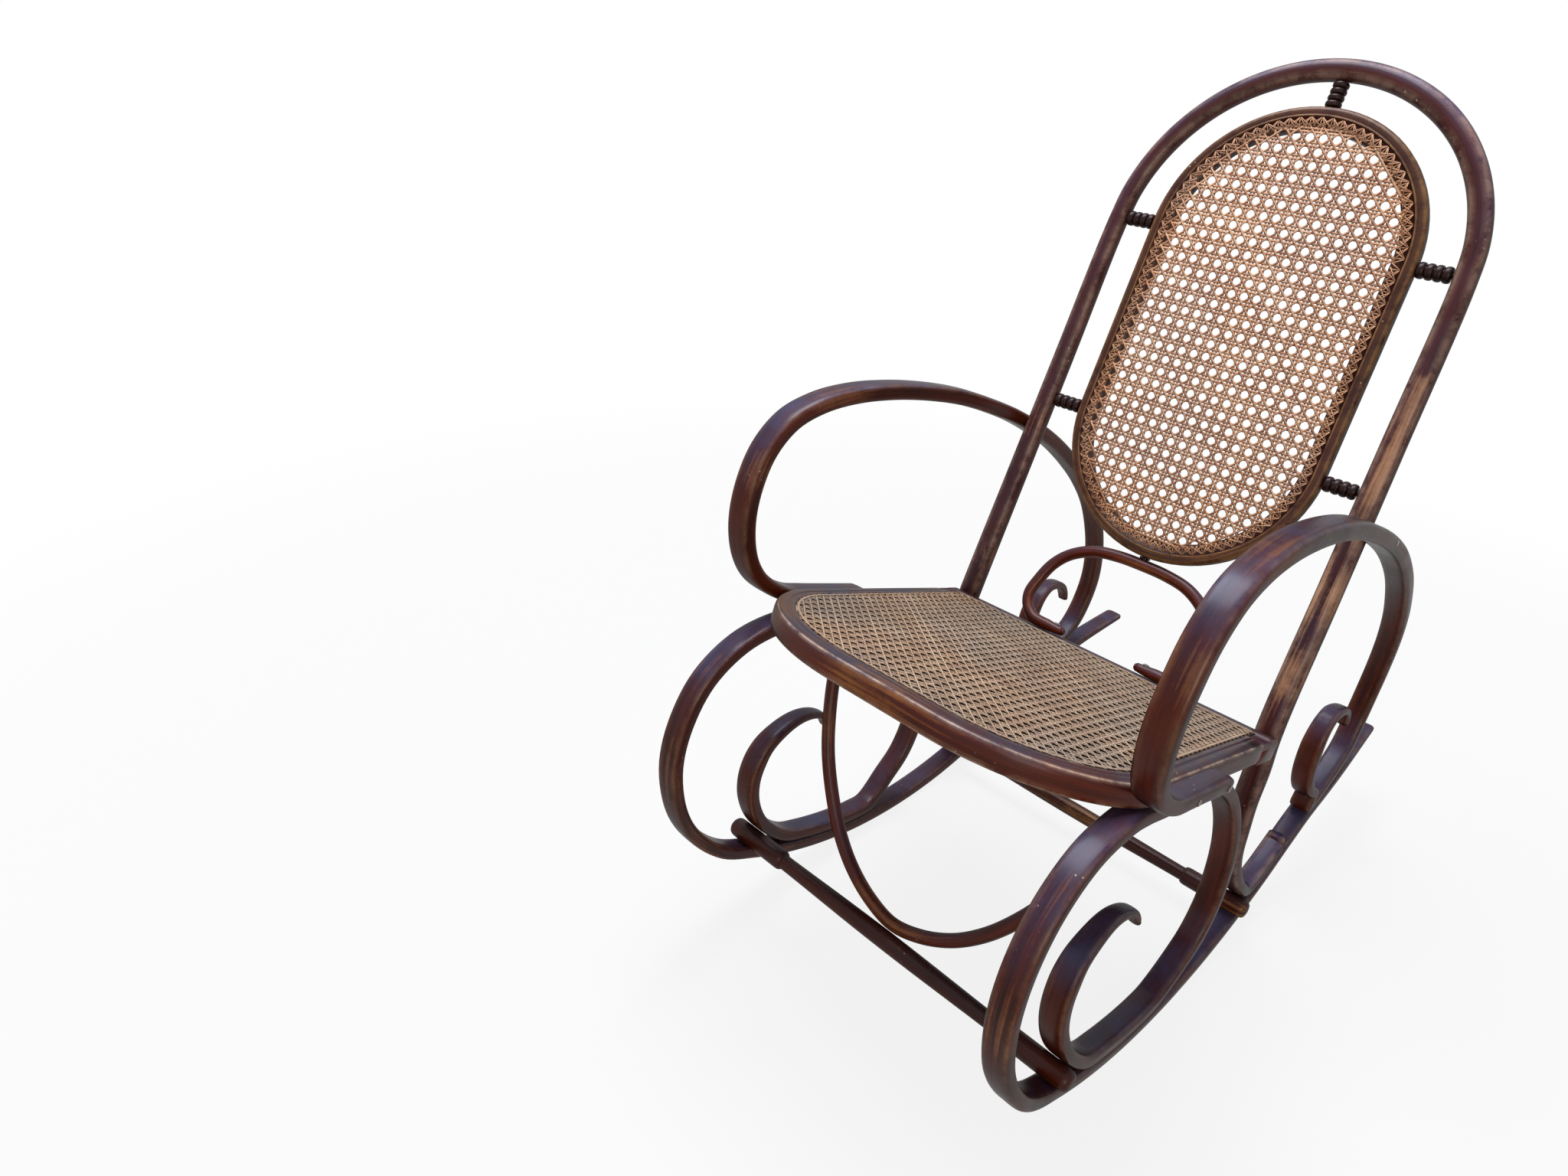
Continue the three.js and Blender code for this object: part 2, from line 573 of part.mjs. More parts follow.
// Boss: a small turned collar pinned between the panel and the loop
const bossFoot = LOOP_RISE + LOOP_RADIUS + GAP;
const bossHeight = PANEL_FOOT - GAP - bossFoot;
const bossPlace = inBack(0, bossFoot);
const bossProfile = [
  [0, -TENON_LENGTH], [TENON_RADIUS, -TENON_LENGTH], [TENON_RADIUS, 0], [BOSS_RADIUS, 0],
  [BOSS_RADIUS, bossHeight], [TENON_RADIUS, bossHeight], [TENON_RADIUS, bossHeight + TENON_LENGTH],
  [0, bossHeight + TENON_LENGTH],
];
const bossHole = tenonHole(bossPlace, backUp, bossHeight);

// Seat outline with rounded front corners, drawn in by an inset, from the rear edge round to the rear edge
const SEAT_HALF_SHARE = 0.925;
const SEAT_CORNER_STEPS = 8;
const seatHalf = SEAT_HALF_SHARE * HALF_WIDTH;
function seatOutline(inset, rear) {
  const points = [new THREE.Vector2(-seatHalf + inset, rear)];
  for (const side of [-1, 1]) {
    for (let i = 0; i <= SEAT_CORNER_STEPS; i++) {
      const share = side < 0 ? i / SEAT_CORNER_STEPS : 1 - i / SEAT_CORNER_STEPS;
      const turn = Math.PI / 2 * share;
      const across = seatHalf - SEAT_CORNER_ACROSS + (SEAT_CORNER_ACROSS - inset) * Math.cos(turn);
      const along = -SEAT_DEPTH + SEAT_CORNER_ALONG - (SEAT_CORNER_ALONG - inset) * Math.sin(turn);
      points.push(new THREE.Vector2(side * across, along));
    }
  }
  points.push(new THREE.Vector2(seatHalf - inset, rear));
  return points;
}
// Rim section with its long edges taken off
function rimGeometry(outline) {
  const geometry = new THREE.ExtrudeGeometry(new THREE.Shape(outline), {
    depth: RIM_DEPTH - 2 * RIM_ROUNDING,
    bevelThickness: RIM_ROUNDING,
    bevelSize: RIM_ROUNDING,
    bevelOffset: -RIM_ROUNDING,
    bevelSegments: 1,
  });
  return geometry.translate(0, 0, seatUnderside + RIM_ROUNDING);
}
const bowRear = -RIM_WIDTH - GAP;
const seatBow = rimGeometry([...seatOutline(0, bowRear), ...seatOutline(RIM_WIDTH, bowRear).reverse()]);
const seatRearRail = rimGeometry([
  new THREE.Vector2(-seatHalf, -RIM_WIDTH), new THREE.Vector2(seatHalf, -RIM_WIDTH),
  new THREE.Vector2(seatHalf, 0), new THREE.Vector2(-seatHalf, 0),
]);
const seatRebate = plate(seatOutline(RIM_FACE - GAP, GAP - RIM_FACE), SEAT_HEIGHT - rebate, SEAT_HEIGHT + OVERRUN);
const seatCane = caneSheet(
  seatOutline(RIM_FACE, -RIM_FACE), SEAT_HEIGHT - CANE_THICKNESS, SEAT_HEIGHT,
  caneGaps(seatOutline(RIM_WIDTH, -RIM_WIDTH), SEAT_CANE_PITCH, SEAT_CANE_STRAND),
);

// Stretchers wedge between the runner and the piece that comes down on to it.
// The seat is where a round end just clears both of their middle lines by a full lap.
const WEDGE_STEPS = 20;
function wedgeSeat(station, towards, curve, lift, clearance) {
  const samples = curve.getPoints(curve.points.length * WEDGE_STEPS);
  const room = (place) => Math.min(...samples
    .filter((sample) => sample.x > 0)
    .map((sample) => Math.hypot(sample.y - place.y, sample.z - place.z)));
  let open = station;
  let shut = towards;
  for (let i = 0; i < WEDGE_STEPS; i++) {
    const middle = (open + shut) / 2;
    if (room(onRunner(middle, lift)) > clearance) open = middle;
    else shut = middle;
  }
  return onRunner(open, lift);
}
const scrollCurve = smooth([...SCROLL_SHARES.map(at), ...lapOnRunner(SCROLL_LAP_SHARES, LAP)]);
const stretcherLift = STRETCHER_RADIUS + stockBottom + GAP;
const FRONT_WEDGE_STATIONS = [-1.6, 2];
const REAR_WEDGE_STATIONS = [5.2, 9.2];
const frontSeat = wedgeSeat(...FRONT_WEDGE_STATIONS, scrollCurve, stretcherLift, stretcherLift);
const rearSeat = wedgeSeat(...REAR_WEDGE_STATIONS, smooth(halfHoop), stretcherLift,
  STRETCHER_RADIUS + FOOT_THICKNESS / 2 + GAP);
const TIP_SHARES = [[0.55, 0], [0.85, 0.35], [1, 1]];
const BELLY_SHARES = [0, 0.35, 1, 0.35, 0];
function stretcherGeometry(seat) {
  const bare = HALF_WIDTH - STRETCHER_SHOULDER;
  const half = TIP_SHARES.map(([out, along]) => [out * STRETCHER_RADIUS, -HALF_WIDTH + along * STRETCHER_TIP]);
  half.push([STRETCHER_RADIUS, -bare - STRETCHER_TIP], [STRETCHER_WAIST, -bare]);
  const belly = BELLY_SHARES.slice(1, -1).map((share, i) => [
    THREE.MathUtils.lerp(STRETCHER_WAIST, STRETCHER_BELLY, share),
    THREE.MathUtils.lerp(-bare, bare, (i + 1) / (BELLY_SHARES.length - 1)),
  ]);
  const other = half.map(([radius, along]) => [radius, -along]).reverse();
  return turned([[0, -HALF_WIDTH], ...half, ...belly, ...other, [0, HALF_WIDTH]],
    new THREE.Vector3(0, seat.y, seat.z), X_AXIS);
}

// Front bow: a rod that hangs from the seat and rests against the front stretcher
const BOW_SHARES = [[0, 0], [0.2, 0.03], [0.4, 0.1], [0.57, 0.2], [0.72, 0.33], [0.84, 0.47], [0.92, 0.615],
  [0.975, 0.76], [1, 0.89]];
const BOW_LEAN_SHARE = 0.8;
const bowReach = STRETCHER_BELLY + BOW_RADIUS + GAP;
const bowAlong = frontSeat.y + bowReach * Math.sqrt(1 - BOW_LEAN_SHARE ** 2);
const bowFoot = frontSeat.z + bowReach * BOW_LEAN_SHARE;
const bowGeometry = (extra) => {
  const tenonAcross = seatHalf - BOW_TENON_INSET;
  const halfBow = [
    ...BOW_SHARES.slice(1).map(([across, up]) => new THREE.Vector3(
      across * BOW_HALF_WIDTH, bowAlong, THREE.MathUtils.lerp(bowFoot, seatUnderside, up))),
    new THREE.Vector3(tenonAcross, bowAlong, seatUnderside),
    new THREE.Vector3(tenonAcross, bowAlong, seatUnderside + BOW_TENON + extra),
  ];
  const bowCurve = smooth([
    ...halfBow.map((point) => mirrored(point, -1)).reverse(),
    new THREE.Vector3(0, bowAlong, bowFoot),
    ...halfBow,
  ]);
  return loft(ringsAlong(bowCurve, loopAcross, (start, end) => {
    const taper = Math.min(1, Math.max(0, Math.min(start, end) - BOW_TENON) / BOW_TENON);
    return round(THREE.MathUtils.lerp(BOW_TENON_RADIUS, BOW_RADIUS, taper) + extra);
  }));
};

const widerSpirals = [spiralGeometry(1, GAP), spiralGeometry(-1, GAP)];
add('back_hoop', cut(hoopGeometry, [...widerArms, ...widerSpirals, ...spacerHoles]), materials.bentwood);
add('back_panel_frame', cut(loft(panelRings, true), [panelRebate, ...spacerHoles, bossHole]), materials.panelwood);
add('back_cane', backCane, materials.backCane);
for (const { name, place, direction, length } of spacers) {
  add(name, turned(spacerProfile(length), place, direction), materials.darkwood);
}
add('panel_boss', turned(bossProfile, bossPlace, backUp), materials.darkwood);
add('back_loop', cut(loopGeometry, [bossHole]), materials.bentwood);
add('seat_bow', cut(seatBow, [seatRebate, ...widerArms, bowGeometry(GAP)]), materials.bentwood);
add('seat_rear_rail', cut(seatRearRail, [seatRebate]), materials.bentwood);
add('seat_cane', seatCane, materials.seatCane);
add('front_bow', bowGeometry(0), materials.turnedwood);
add('front_stretcher', stretcherGeometry(frontSeat), materials.turnedwood);
add('rear_stretcher', stretcherGeometry(rearSeat), materials.turnedwood);
for (const [hand, side] of [['left', 1], ['right', -1]]) {
  add(`side_spiral_${hand}`, spiralGeometry(side, 0), materials.bentwood);
  add(`arm_${hand}`, armGeometry(side, 0), materials.bentwood);
}

// The stretch of the runner that carries the chair, counted in stations of the floor arc, becomes level.
const REST_STATION = 6;
const restFoot = (station) => onRunner(station, -stockBottom);
const restLine = restFoot(REST_STATION + 1 / RINGS_PER_STATION).sub(restFoot(REST_STATION));
chair.rotation.x = -Math.atan2(restLine.z, restLine.y);

const root = new THREE.Group();
root.add(chair);
root.updateMatrixWorld(true);
const bounds = new THREE.Box3().setFromObject(root, true);
const centre = bounds.getCenter(new THREE.Vector3());
root.position.set(-centre.x, -centre.y, -bounds.min.z);
root.updateMatrixWorld(true);

export default root;
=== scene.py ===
import math
import random
from bisect import bisect_left

import bpy
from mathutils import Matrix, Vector


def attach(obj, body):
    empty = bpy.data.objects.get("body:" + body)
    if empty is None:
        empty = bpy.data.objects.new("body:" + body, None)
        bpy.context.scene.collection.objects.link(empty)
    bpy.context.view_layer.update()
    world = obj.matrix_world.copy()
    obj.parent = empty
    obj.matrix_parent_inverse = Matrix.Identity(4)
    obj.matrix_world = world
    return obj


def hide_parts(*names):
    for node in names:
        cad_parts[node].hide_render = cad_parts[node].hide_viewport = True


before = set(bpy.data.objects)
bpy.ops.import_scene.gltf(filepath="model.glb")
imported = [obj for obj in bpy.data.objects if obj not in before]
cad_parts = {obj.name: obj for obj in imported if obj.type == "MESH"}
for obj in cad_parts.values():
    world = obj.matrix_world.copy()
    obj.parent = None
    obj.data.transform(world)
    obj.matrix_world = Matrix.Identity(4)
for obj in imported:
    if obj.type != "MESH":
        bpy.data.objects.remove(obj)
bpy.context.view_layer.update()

random.seed(7)


# The camera stands a little to the right of the chair's front, above the seat, and looks down on it.
# It has a wide lens, close to the chair.


def new_object(name, data):
    made = bpy.data.objects.new(name, data)
    bpy.context.scene.collection.objects.link(made)
    return made


camera_data = bpy.data.cameras.new("camera")
camera_data.sensor_width = 36
camera_data.lens = 23.73
camera = new_object("camera", camera_data)
camera.location = (0.50597, -1.15081, 1.04387)
camera.rotation_euler = [math.radians(turn) for turn in (61.9874, -4.1211, 45.595)]
bpy.context.scene.camera = camera


# Side spirals: each is one long steam-bent beech rod, stained and varnished. From the scroll in front it
# lies on the runner, rises as the front leg, passes under the seat and comes round the front hoop to
# become the runner, which ends in a point behind. Screws hold it where it lies on itself.
HALF_WIDTH = 0.260
SEAT_DEPTH = 0.497
REAR_REACH = 0.583
SEAT_HEIGHT = 0.395
ARM_RISE = 0.264
GAP = 0.0003
STOCK_WIDTH = 0.030
STOCK_THICKNESS = 0.018
TIP_WIDTH = 0.015
TIP_THICKNESS = 0.008
TIP_TAPER = 0.170
RIM_DEPTH = 0.028
STOCK_SQUARENESS = 4.4
TIP_SQUARENESS = 2.4
TIP_FULLNESS = 0.45
SECTION_POINTS = 24
ROUND_STEPS = 5
SIDE_PER_STATION = 6
LEAN = math.radians(-17.4956)
SETTLED_ALONG = -0.114614
SETTLED_UP = -0.022250
ACROSS = Vector((1, 0, 0))
SIDES = {"left": 1, "right": -1}
LAP = STOCK_THICKNESS + GAP

HOOP_SHARES = [
    [0.877, -0.789, 0.895], [0.877, -0.901, 0.835], [0.881, -0.98, 0.727], [0.885, -1.01, 0.592],
    [0.892, -1, 0.448], [0.9, -0.938, 0.286], [0.912, -0.847, 0.167],
]
TAIL_SHARES = [
    [0.908, 0.583, 0.577], [0.908, 0.669, 0.646], [0.905, 0.751, 0.706], [0.898, 0.83, 0.759],
    [0.889, 0.909, 0.808], [0.878, 1, 0.863],
]
RUNNER_ACROSS_SHARE = 0.908
LOWEST_ALONG_SHARE = -0.372
ARC_END_ALONG_SHARE = 0.493
ARC_END_UP_SHARE = 0.476
ARC_FRONT_SHARE = -0.34
ARC_SPANS = 11
SCROLL_SHARES = [
    [0.888, -0.457, 0.504], [0.88, -0.491, 0.543], [0.873, -0.543, 0.561], [0.868, -0.602, 0.555],
    [0.867, -0.654, 0.524], [0.867, -0.702, 0.466], [0.871, -0.716, 0.382], [0.877, -0.7, 0.3],
    [0.886, -0.656, 0.218], [0.898, -0.592, 0.148],
]
SCROLL_LAP_SHARES = [[1.9, 0.1], [2.6, 0.01], [3.3, 0], [3.9, 0], [4.5, 0.04], [5, 0.24]]
LEG_SHARES = [
    [0.919, -0.04, 0.215], [0.923, 0.003, 0.304], [0.923, 0.014, 0.418], [0.919, -0.004, 0.537],
    [0.912, -0.044, 0.646], [0.9, -0.105, 0.747], [0.888, -0.185, 0.83], [0.882, -0.26, 0.877],
]
SEAT_LAP_SHARES = [
    [0.879, -0.332, 0.07], [0.877, -0.433, 0], [0.877, -0.54, 0], [0.877, -0.64, 0], [0.877, -0.72, 0.01],
]


def lengthwise(along):
    return along * (SEAT_DEPTH if along < 0 else REAR_REACH)


def upward(up):
    return min(up, 1) * SEAT_HEIGHT + max(up - 1, 0) * ARM_RISE


def placed(stations):
    return [Vector((across * HALF_WIDTH, lengthwise(along), upward(up))) for across, along, up in stations]


def mirrored(points, side=-1):
    return [Vector((side * point.x, point.y, point.z)) for point in points]


def blend(a, b, share):
    return a + (b - a) * share


def settled(point):
    """Where a point of the level chair comes to lie when the chair rests back on its runners."""
    cos, sin = math.cos(LEAN), math.sin(LEAN)
    return Vector((point.x, cos * point.y - sin * point.z + SETTLED_ALONG,
                   sin * point.y + cos * point.z + SETTLED_UP))


def on_line(stations, where):
    """A point on the smooth line through the stations, which are counted from zero."""
    i = min(int(where), len(stations) - 2)
    t = where - i
    b, c = stations[i], stations[i + 1]
    a = stations[i - 1] if i > 0 else 2 * b - c
    d = stations[i + 2] if i + 2 < len(stations) else 2 * c - b
    ab, bc, cd = [max((q - p).length, 1e-6) ** 0.5 for p, q in ((a, b), (b, c), (c, d))]
    leaving = ((b - a) / ab - (c - a) / (ab + bc) + (c - b) / bc) * bc
    arriving = ((c - b) / bc - (d - b) / (bc + cd) + (d - c) / cd) * bc
    t2, t3 = t * t, t * t * t
    return ((2 * t3 - 3 * t2 + 1) * b + (t3 - 2 * t2 + t) * leaving
            + (3 * t2 - 2 * t3) * c + (t3 - t2) * arriving)


def smooth_line(stations, per_station):
    steps = (len(stations) - 1) * per_station
    return [on_line(stations, i / per_station) for i in range(steps + 1)]


def rod_section(width, thickness, squareness):
    """Rounded outline of bent stock. Each point also says how much of an edge it lies on."""
    section = []
    for i in range(SECTION_POINTS):
        turn = 2 * math.pi * (i + 0.5) / SECTION_POINTS
        cos, sin = math.cos(turn), math.sin(turn)
        p = math.copysign(abs(cos) ** (2 / squareness), cos) * width / 2
        q = math.copysign(abs(sin) ** (2 / squareness), sin) * thickness / 2
        section.append((p, q, abs(math.sin(2 * turn)) ** 3))
    return section


def flat_lengths(points):
    """How far along a flat line each of its points lies."""
    lengths = [0.0]
    for a, b in zip(points, points[1:]):
        lengths.append(lengths[-1] + math.hypot(b[0] - a[0], b[1] - a[1]))
    return lengths


def tube(rings, count, lengths, girths):
    """Faces between rings of points, and their grain, from the rings' places and the girths round them."""
    faces, uvs = [], []
    for i in range(len(lengths) - 1):
        k = (i + 1) % rings
        for j in range(count):
            m = (j + 1) % count
            faces.append((i * count + j, i * count + m, k * count + m, k * count + j))
            corners = ((i, j), (i, j + 1), (i + 1, j + 1), (i + 1, j))
            uvs += [(lengths[a], girths[i][b]) for a, b in corners]
    return faces, uvs


def smooth_piece(name, verts, faces, material):
    mesh = bpy.data.meshes.new(name)
    mesh.from_pydata(verts, [], faces)
    mesh.update()
    mesh.shade_smooth()
    mesh.materials.append(material)
    return new_object(name, mesh)


def wood_values(piece, edges):
    """Keeps for each point how much of an edge it is, how far it faces up and how far it is rubbed."""
    above = [max(0.0, normal.vector.z) for normal in piece.data.vertex_normals]
    for name, values in (("edge", edges), ("above", above), ("rubbed", [0.0] * len(above))):
        piece.data.attributes.new(name, "FLOAT", "POINT").data.foreach_set("value", values)


def wooden_piece(name, verts, faces, uvs, edges, stain):
    """Smooth piece with its grain map and the values that its stain reads."""
    piece = smooth_piece(name, verts, faces, stain)
    grain = piece.data.uv_layers.new(name="grain")
    for loop, uv in zip(grain.data, uvs):
        loop.uv = uv
    wood_values(piece, edges)
    return piece


def bent_rod(name, points, across_at, section_at, stain):
    """Rod along a line of points, its grain laid out along its length."""
    lengths = [0.0]
    for before, after in zip(points, points[1:]):
        lengths.append(lengths[-1] + (after - before).length)
    verts, edges, girths = [], [], []
    for i, centre in enumerate(points):
        tangent = (points[min(i + 1, len(points) - 1)] - points[max(i - 1, 0)]).normalized()
        first = across_at(tangent, centre, i)
        first = (first - tangent * first.dot(tangent)).normalized()
        second = tangent.cross(first)
        section = section_at(lengths[i], lengths[-1] - lengths[i], centre)
        verts += [settled(centre + first * p + second * q) for p, q, edge in section]
        edges += [edge for p, q, edge in section]
        girths.append(flat_lengths(section + section[:1]))
    count = len(section)
    faces, uvs = tube(len(points), count, lengths, girths)
    last = len(verts) - count
    for end, along in ((range(count - 1, -1, -1), 0.0), (range(last, last + count), lengths[-1])):
        faces.append(tuple(end))
        uvs += [(along, 0.001 * j) for j in range(count)]
    return wooden_piece(name, verts, faces, uvs, edges, stain)


def rub(piece, spots, side=1):
    """Marks where hands and clothes have worn the stain, in soft round spots of the level chair."""
    centres = [(settled(Vector((side * x, y, z))), reach, strength) for x, y, z, reach, strength in spots]
    values = []
    for vertex in piece.data.vertices:
        worn = 0.0
        for centre, reach, strength in centres:
            near = max(0.0, 1 - (vertex.co - centre).length / reach)
            worn = max(worn, strength * near * near * (3 - 2 * near))
        values.append(worn)
    piece.data.attributes["rubbed"].data.foreach_set("value", values)


def tone(code):
    """Linear colour from its usual hex code."""
    parts = [int(code[i:i + 2], 16) / 255 for i in (1, 3, 5)]
    return [p / 12.92 if p <= 0.04045 else ((p + 0.055) / 1.055) ** 2.4 for p in parts] + [1]


def feed(tree, inputs, values):
    """Gives inputs their values, or links them to the sockets that the values come from."""
    for label, value in values.items():
        if isinstance(value, bpy.types.NodeSocket):
            tree.links.new(value, inputs[label])
        else:
            inputs[label].default_value = value


def node(tree, kind, values=None, **settings):
    """Adds a node with its settings and the values of its inputs, and returns its outputs."""
    made = tree.nodes.new("ShaderNode" + kind)
    for label, value in settings.items():
        setattr(made, label, value)
    feed(tree, made.inputs, values or {})
    return made.outputs


def ramp(tree, factor, stops):
    made = tree.nodes.new("ShaderNodeValToRGB")
    elements = made.color_ramp.elements
    while len(elements) < len(stops):
        elements.new(0.5)
    for element, (position, code) in zip(elements, stops):
        element.position = position
        element.color = tone(code)
    tree.links.new(factor, made.inputs["Fac"])
    return made.outputs["Color"]


def between(tree, factor, low, high):
    """Colour mixed from two others, which a mix node takes at its sockets 6 and 7."""
    return node(tree, "Mix", {0: factor, 6: low, 7: high}, data_type="RGBA")[2]


def combine(tree, operation, first, second, clamp=True):
    return node(tree, "Math", {0: first, 1: second}, operation=operation, use_clamp=clamp)[0]


def product(tree, first, second):
    return combine(tree, "MULTIPLY", first, second)


def weighted(tree, *parts, clamp=True):
    """Sum of values, each times its own share."""
    total = None
    for value, share in parts:
        part = combine(tree, "MULTIPLY", value, share, clamp=False)
        total = part if total is None else combine(tree, "ADD", total, part, clamp)
    return total


def spread(tree, value, low, high, to_low=0.0, to_high=1.0):
    """Value with one range of it drawn out over another."""
    return node(tree, "MapRange", {"Value": value, "From Min": low, "From Max": high,
                                   "To Min": to_low, "To Max": to_high})["Result"]


def noise(tree, vector, scale, detail, rough, distortion=0.0):
    return node(tree, "TexNoise", {"Vector": vector, "Scale": scale, "Detail": detail,
                                   "Roughness": rough, "Distortion": distortion})["Fac"]


def kept_value(tree, name):
    return node(tree, "Attribute", attribute_name=name)["Fac"]


def new_group(name, inputs, outputs):
    """Empty node group with named sockets, and the sockets that bring its inputs and take its outputs."""
    group = bpy.data.node_groups.new(name, "ShaderNodeTree")
    for label, kind in inputs.items():
        group.interface.new_socket(label, in_out="INPUT", socket_type="NodeSocket" + kind)
    for label in outputs:
        group.interface.new_socket(label, in_out="OUTPUT", socket_type="NodeSocketFloat")
    return group, group.nodes.new("NodeGroupInput").outputs, group.nodes.new("NodeGroupOutput").inputs


def new_material(name):
    material = bpy.data.materials.new(name)
    material.use_nodes = True
    return material, material.node_tree


def set_shader(tree, values):
    feed(tree, tree.nodes["Principled BSDF"].inputs, values)


# Fibres and pores of beech along the piece, from its grain map
beech_fibre, fibre_in, fibre_out = new_group("beech fibre", {"Grain": "Vector"},
                                             ["Streak", "Pore", "Cloud"])
for label, stretch, detail, rough, distortion, low, high in (
        ("Streak", (5, 170, 1), 5, 0.62, 0.3, 0.32, 0.68),
        ("Pore", (45, 1100, 1), 2, 0.5, 0.0, 0.56, 0.72),
        ("Cloud", (7, 28, 1), 4, 0.6, 0.4, 0.3, 0.7)):
    stretched = node(beech_fibre, "Mapping", {"Vector": fibre_in["Grain"], "Scale": stretch})["Vector"]
    figure = noise(beech_fibre, stretched, 1.0, detail, rough, distortion)
    beech_fibre.links.new(spread(beech_fibre, figure, low, high), fibre_out[label])

# Wear and painted highlight: worn spots and pale edge lines broken up by noise, the edge lines part wear
# and part painted highlight, and small chips through the stain
wear_and_edge_highlight, wear_in, wear_out = new_group(
    "wood wear and edge highlight",
    {"Place": "Vector", "Rubbed": "Float", "Edge": "Float", "Streak": "Float", "Everywhere": "Float"},
    ["Bare", "Line", "Chip"],
)
patch = noise(wear_and_edge_highlight, wear_in["Place"], 26, 5, 0.65, 0.6)
fret = noise(wear_and_edge_highlight, wear_in["Place"], 210, 3, 0.6)
chance = combine(wear_and_edge_highlight, "ADD", wear_in["Rubbed"], wear_in["Everywhere"])
ragged = weighted(wear_and_edge_highlight, (patch, 0.42), (fret, 0.16), (wear_in["Streak"], 0.46))
bare = spread(wear_and_edge_highlight, combine(wear_and_edge_highlight, "ADD", ragged, chance, clamp=False), 0.82, 1.18)
edge_noise = noise(wear_and_edge_highlight, wear_in["Place"], 38, 4, 0.7)
# Edge line: part wear and part painted highlight, drawn where a piece has edges.
edge_wear_and_highlight = product(wear_and_edge_highlight, wear_in["Edge"], spread(wear_and_edge_highlight, edge_noise, 0.34, 0.58))
cells = node(wear_and_edge_highlight, "TexVoronoi", {"Vector": wear_in["Place"], "Scale": 120.0, "Randomness": 1.0})
speck = spread(wear_and_edge_highlight, cells["Distance"], 0.05, 0.13, 1.0, 0.0)
rare = noise(wear_and_edge_highlight, wear_in["Place"], 9, 2, 0.5)
chip = product(wear_and_edge_highlight, speck, spread(wear_and_edge_highlight, rare, 0.62, 0.66))
for label, value in (("Bare", bare), ("Line", edge_wear_and_highlight), ("Chip", chip)):
    wear_and_edge_highlight.links.new(value, wear_out[label])

PORE_COLOR = "#1c0c0a"
CHIP_COLOR = "#d9c4ae"
# Painted shade: near black, laid over surfaces where they are seen aslant.
GRAZING_PAINTED_SHADE_COLOR = "#0c0303"


def stained_wood(name, deep, warm, painted_sheen_color, bare_color, edge_wear_and_highlight_color, gloss=0.34, everywhere=0.04,
                 painted_sheen_share=0.6, edge_wear_and_highlight_share=0.5):
    """Old varnished stain over beech: dark body, a painted bluish sheen of sky reflection on faces that
    look up, bare wood where it is rubbed, pale edge lines of wear and painted highlight, and painted shade
    where it is seen aslant.
    """
    material, tree = new_material(name)
    where = node(tree, "TexCoord")["Object"]
    grain_map = node(tree, "UVMap", uv_map="grain")["UV"]
    fibre = node(tree, "Group", {"Grain": grain_map}, node_tree=beech_fibre)
    wear_and_highlight = node(tree, "Group", {"Place": where, "Rubbed": kept_value(tree, "rubbed"),
                                "Edge": kept_value(tree, "edge"), "Streak": fibre["Streak"],
                                "Everywhere": everywhere}, node_tree=wear_and_edge_highlight)
    haze = noise(tree, where, 14, 4, 0.6)
    # Painted sheen: a bluish reflection of the sky, painted on faces that look up, in patches of haze.
    painted_sheen_mask = product(tree, spread(tree, kept_value(tree, "above"), 0.25, 0.8),
                   spread(tree, haze, 0.36, 0.64, 0.3 * painted_sheen_share, painted_sheen_share))
    aslant = node(tree, "LayerWeight", {"Blend": 0.5})["Facing"]
    body = weighted(tree, (fibre["Streak"], 0.45), (fibre["Cloud"], 0.55))
    color = between(tree, body, tone(deep), tone(warm))
    for share, layer in (
            (painted_sheen_mask, painted_sheen_color), (product(tree, fibre["Pore"], 0.35), PORE_COLOR),
            (product(tree, wear_and_highlight["Bare"], 0.7), bare_color),
            # Pale edge lines, part wear and part painted highlight.
            (product(tree, wear_and_highlight["Line"], edge_wear_and_highlight_share), edge_wear_and_highlight_color),
            (product(tree, wear_and_highlight["Chip"], 0.8), CHIP_COLOR),
            # Painted shade at grazing view.
            (spread(tree, aslant, 0.45, 0.95, 0.0, 0.8), GRAZING_PAINTED_SHADE_COLOR)):
        color = between(tree, share, color, tone(layer))
    dullness = weighted(tree, (haze, 0.22), (wear_and_highlight["Bare"], 0.14))
    height = weighted(tree, (fibre["Streak"], 0.35), (haze, 0.5), (wear_and_highlight["Chip"], -0.8),
                      (fibre["Pore"], -0.25), clamp=False)
    set_shader(tree, {
        "Base Color": color, "Roughness": combine(tree, "ADD", dullness, gloss - 0.11), "IOR": 1.11,
        "Normal": node(tree, "Bump", {"Height": height, "Strength": 0.5, "Distance": 0.0006})["Normal"],
        "Coat Weight": spread(tree, aslant, 0.35, 0.8, 0.24, 0.0), "Coat IOR": 1.5, "Coat Roughness": 0.27,
    })
    return material


# The fourth colour is the painted bluish sheen on faces that look up. The last is the edge line, part wear
# and part painted highlight.
bentwood = stained_wood("stained bentwood", "#190302", "#5c200c", "#3e425e", "#8c5c3a", "#b8946c",
                        painted_sheen_share=0.74, edge_wear_and_highlight_share=0.14)

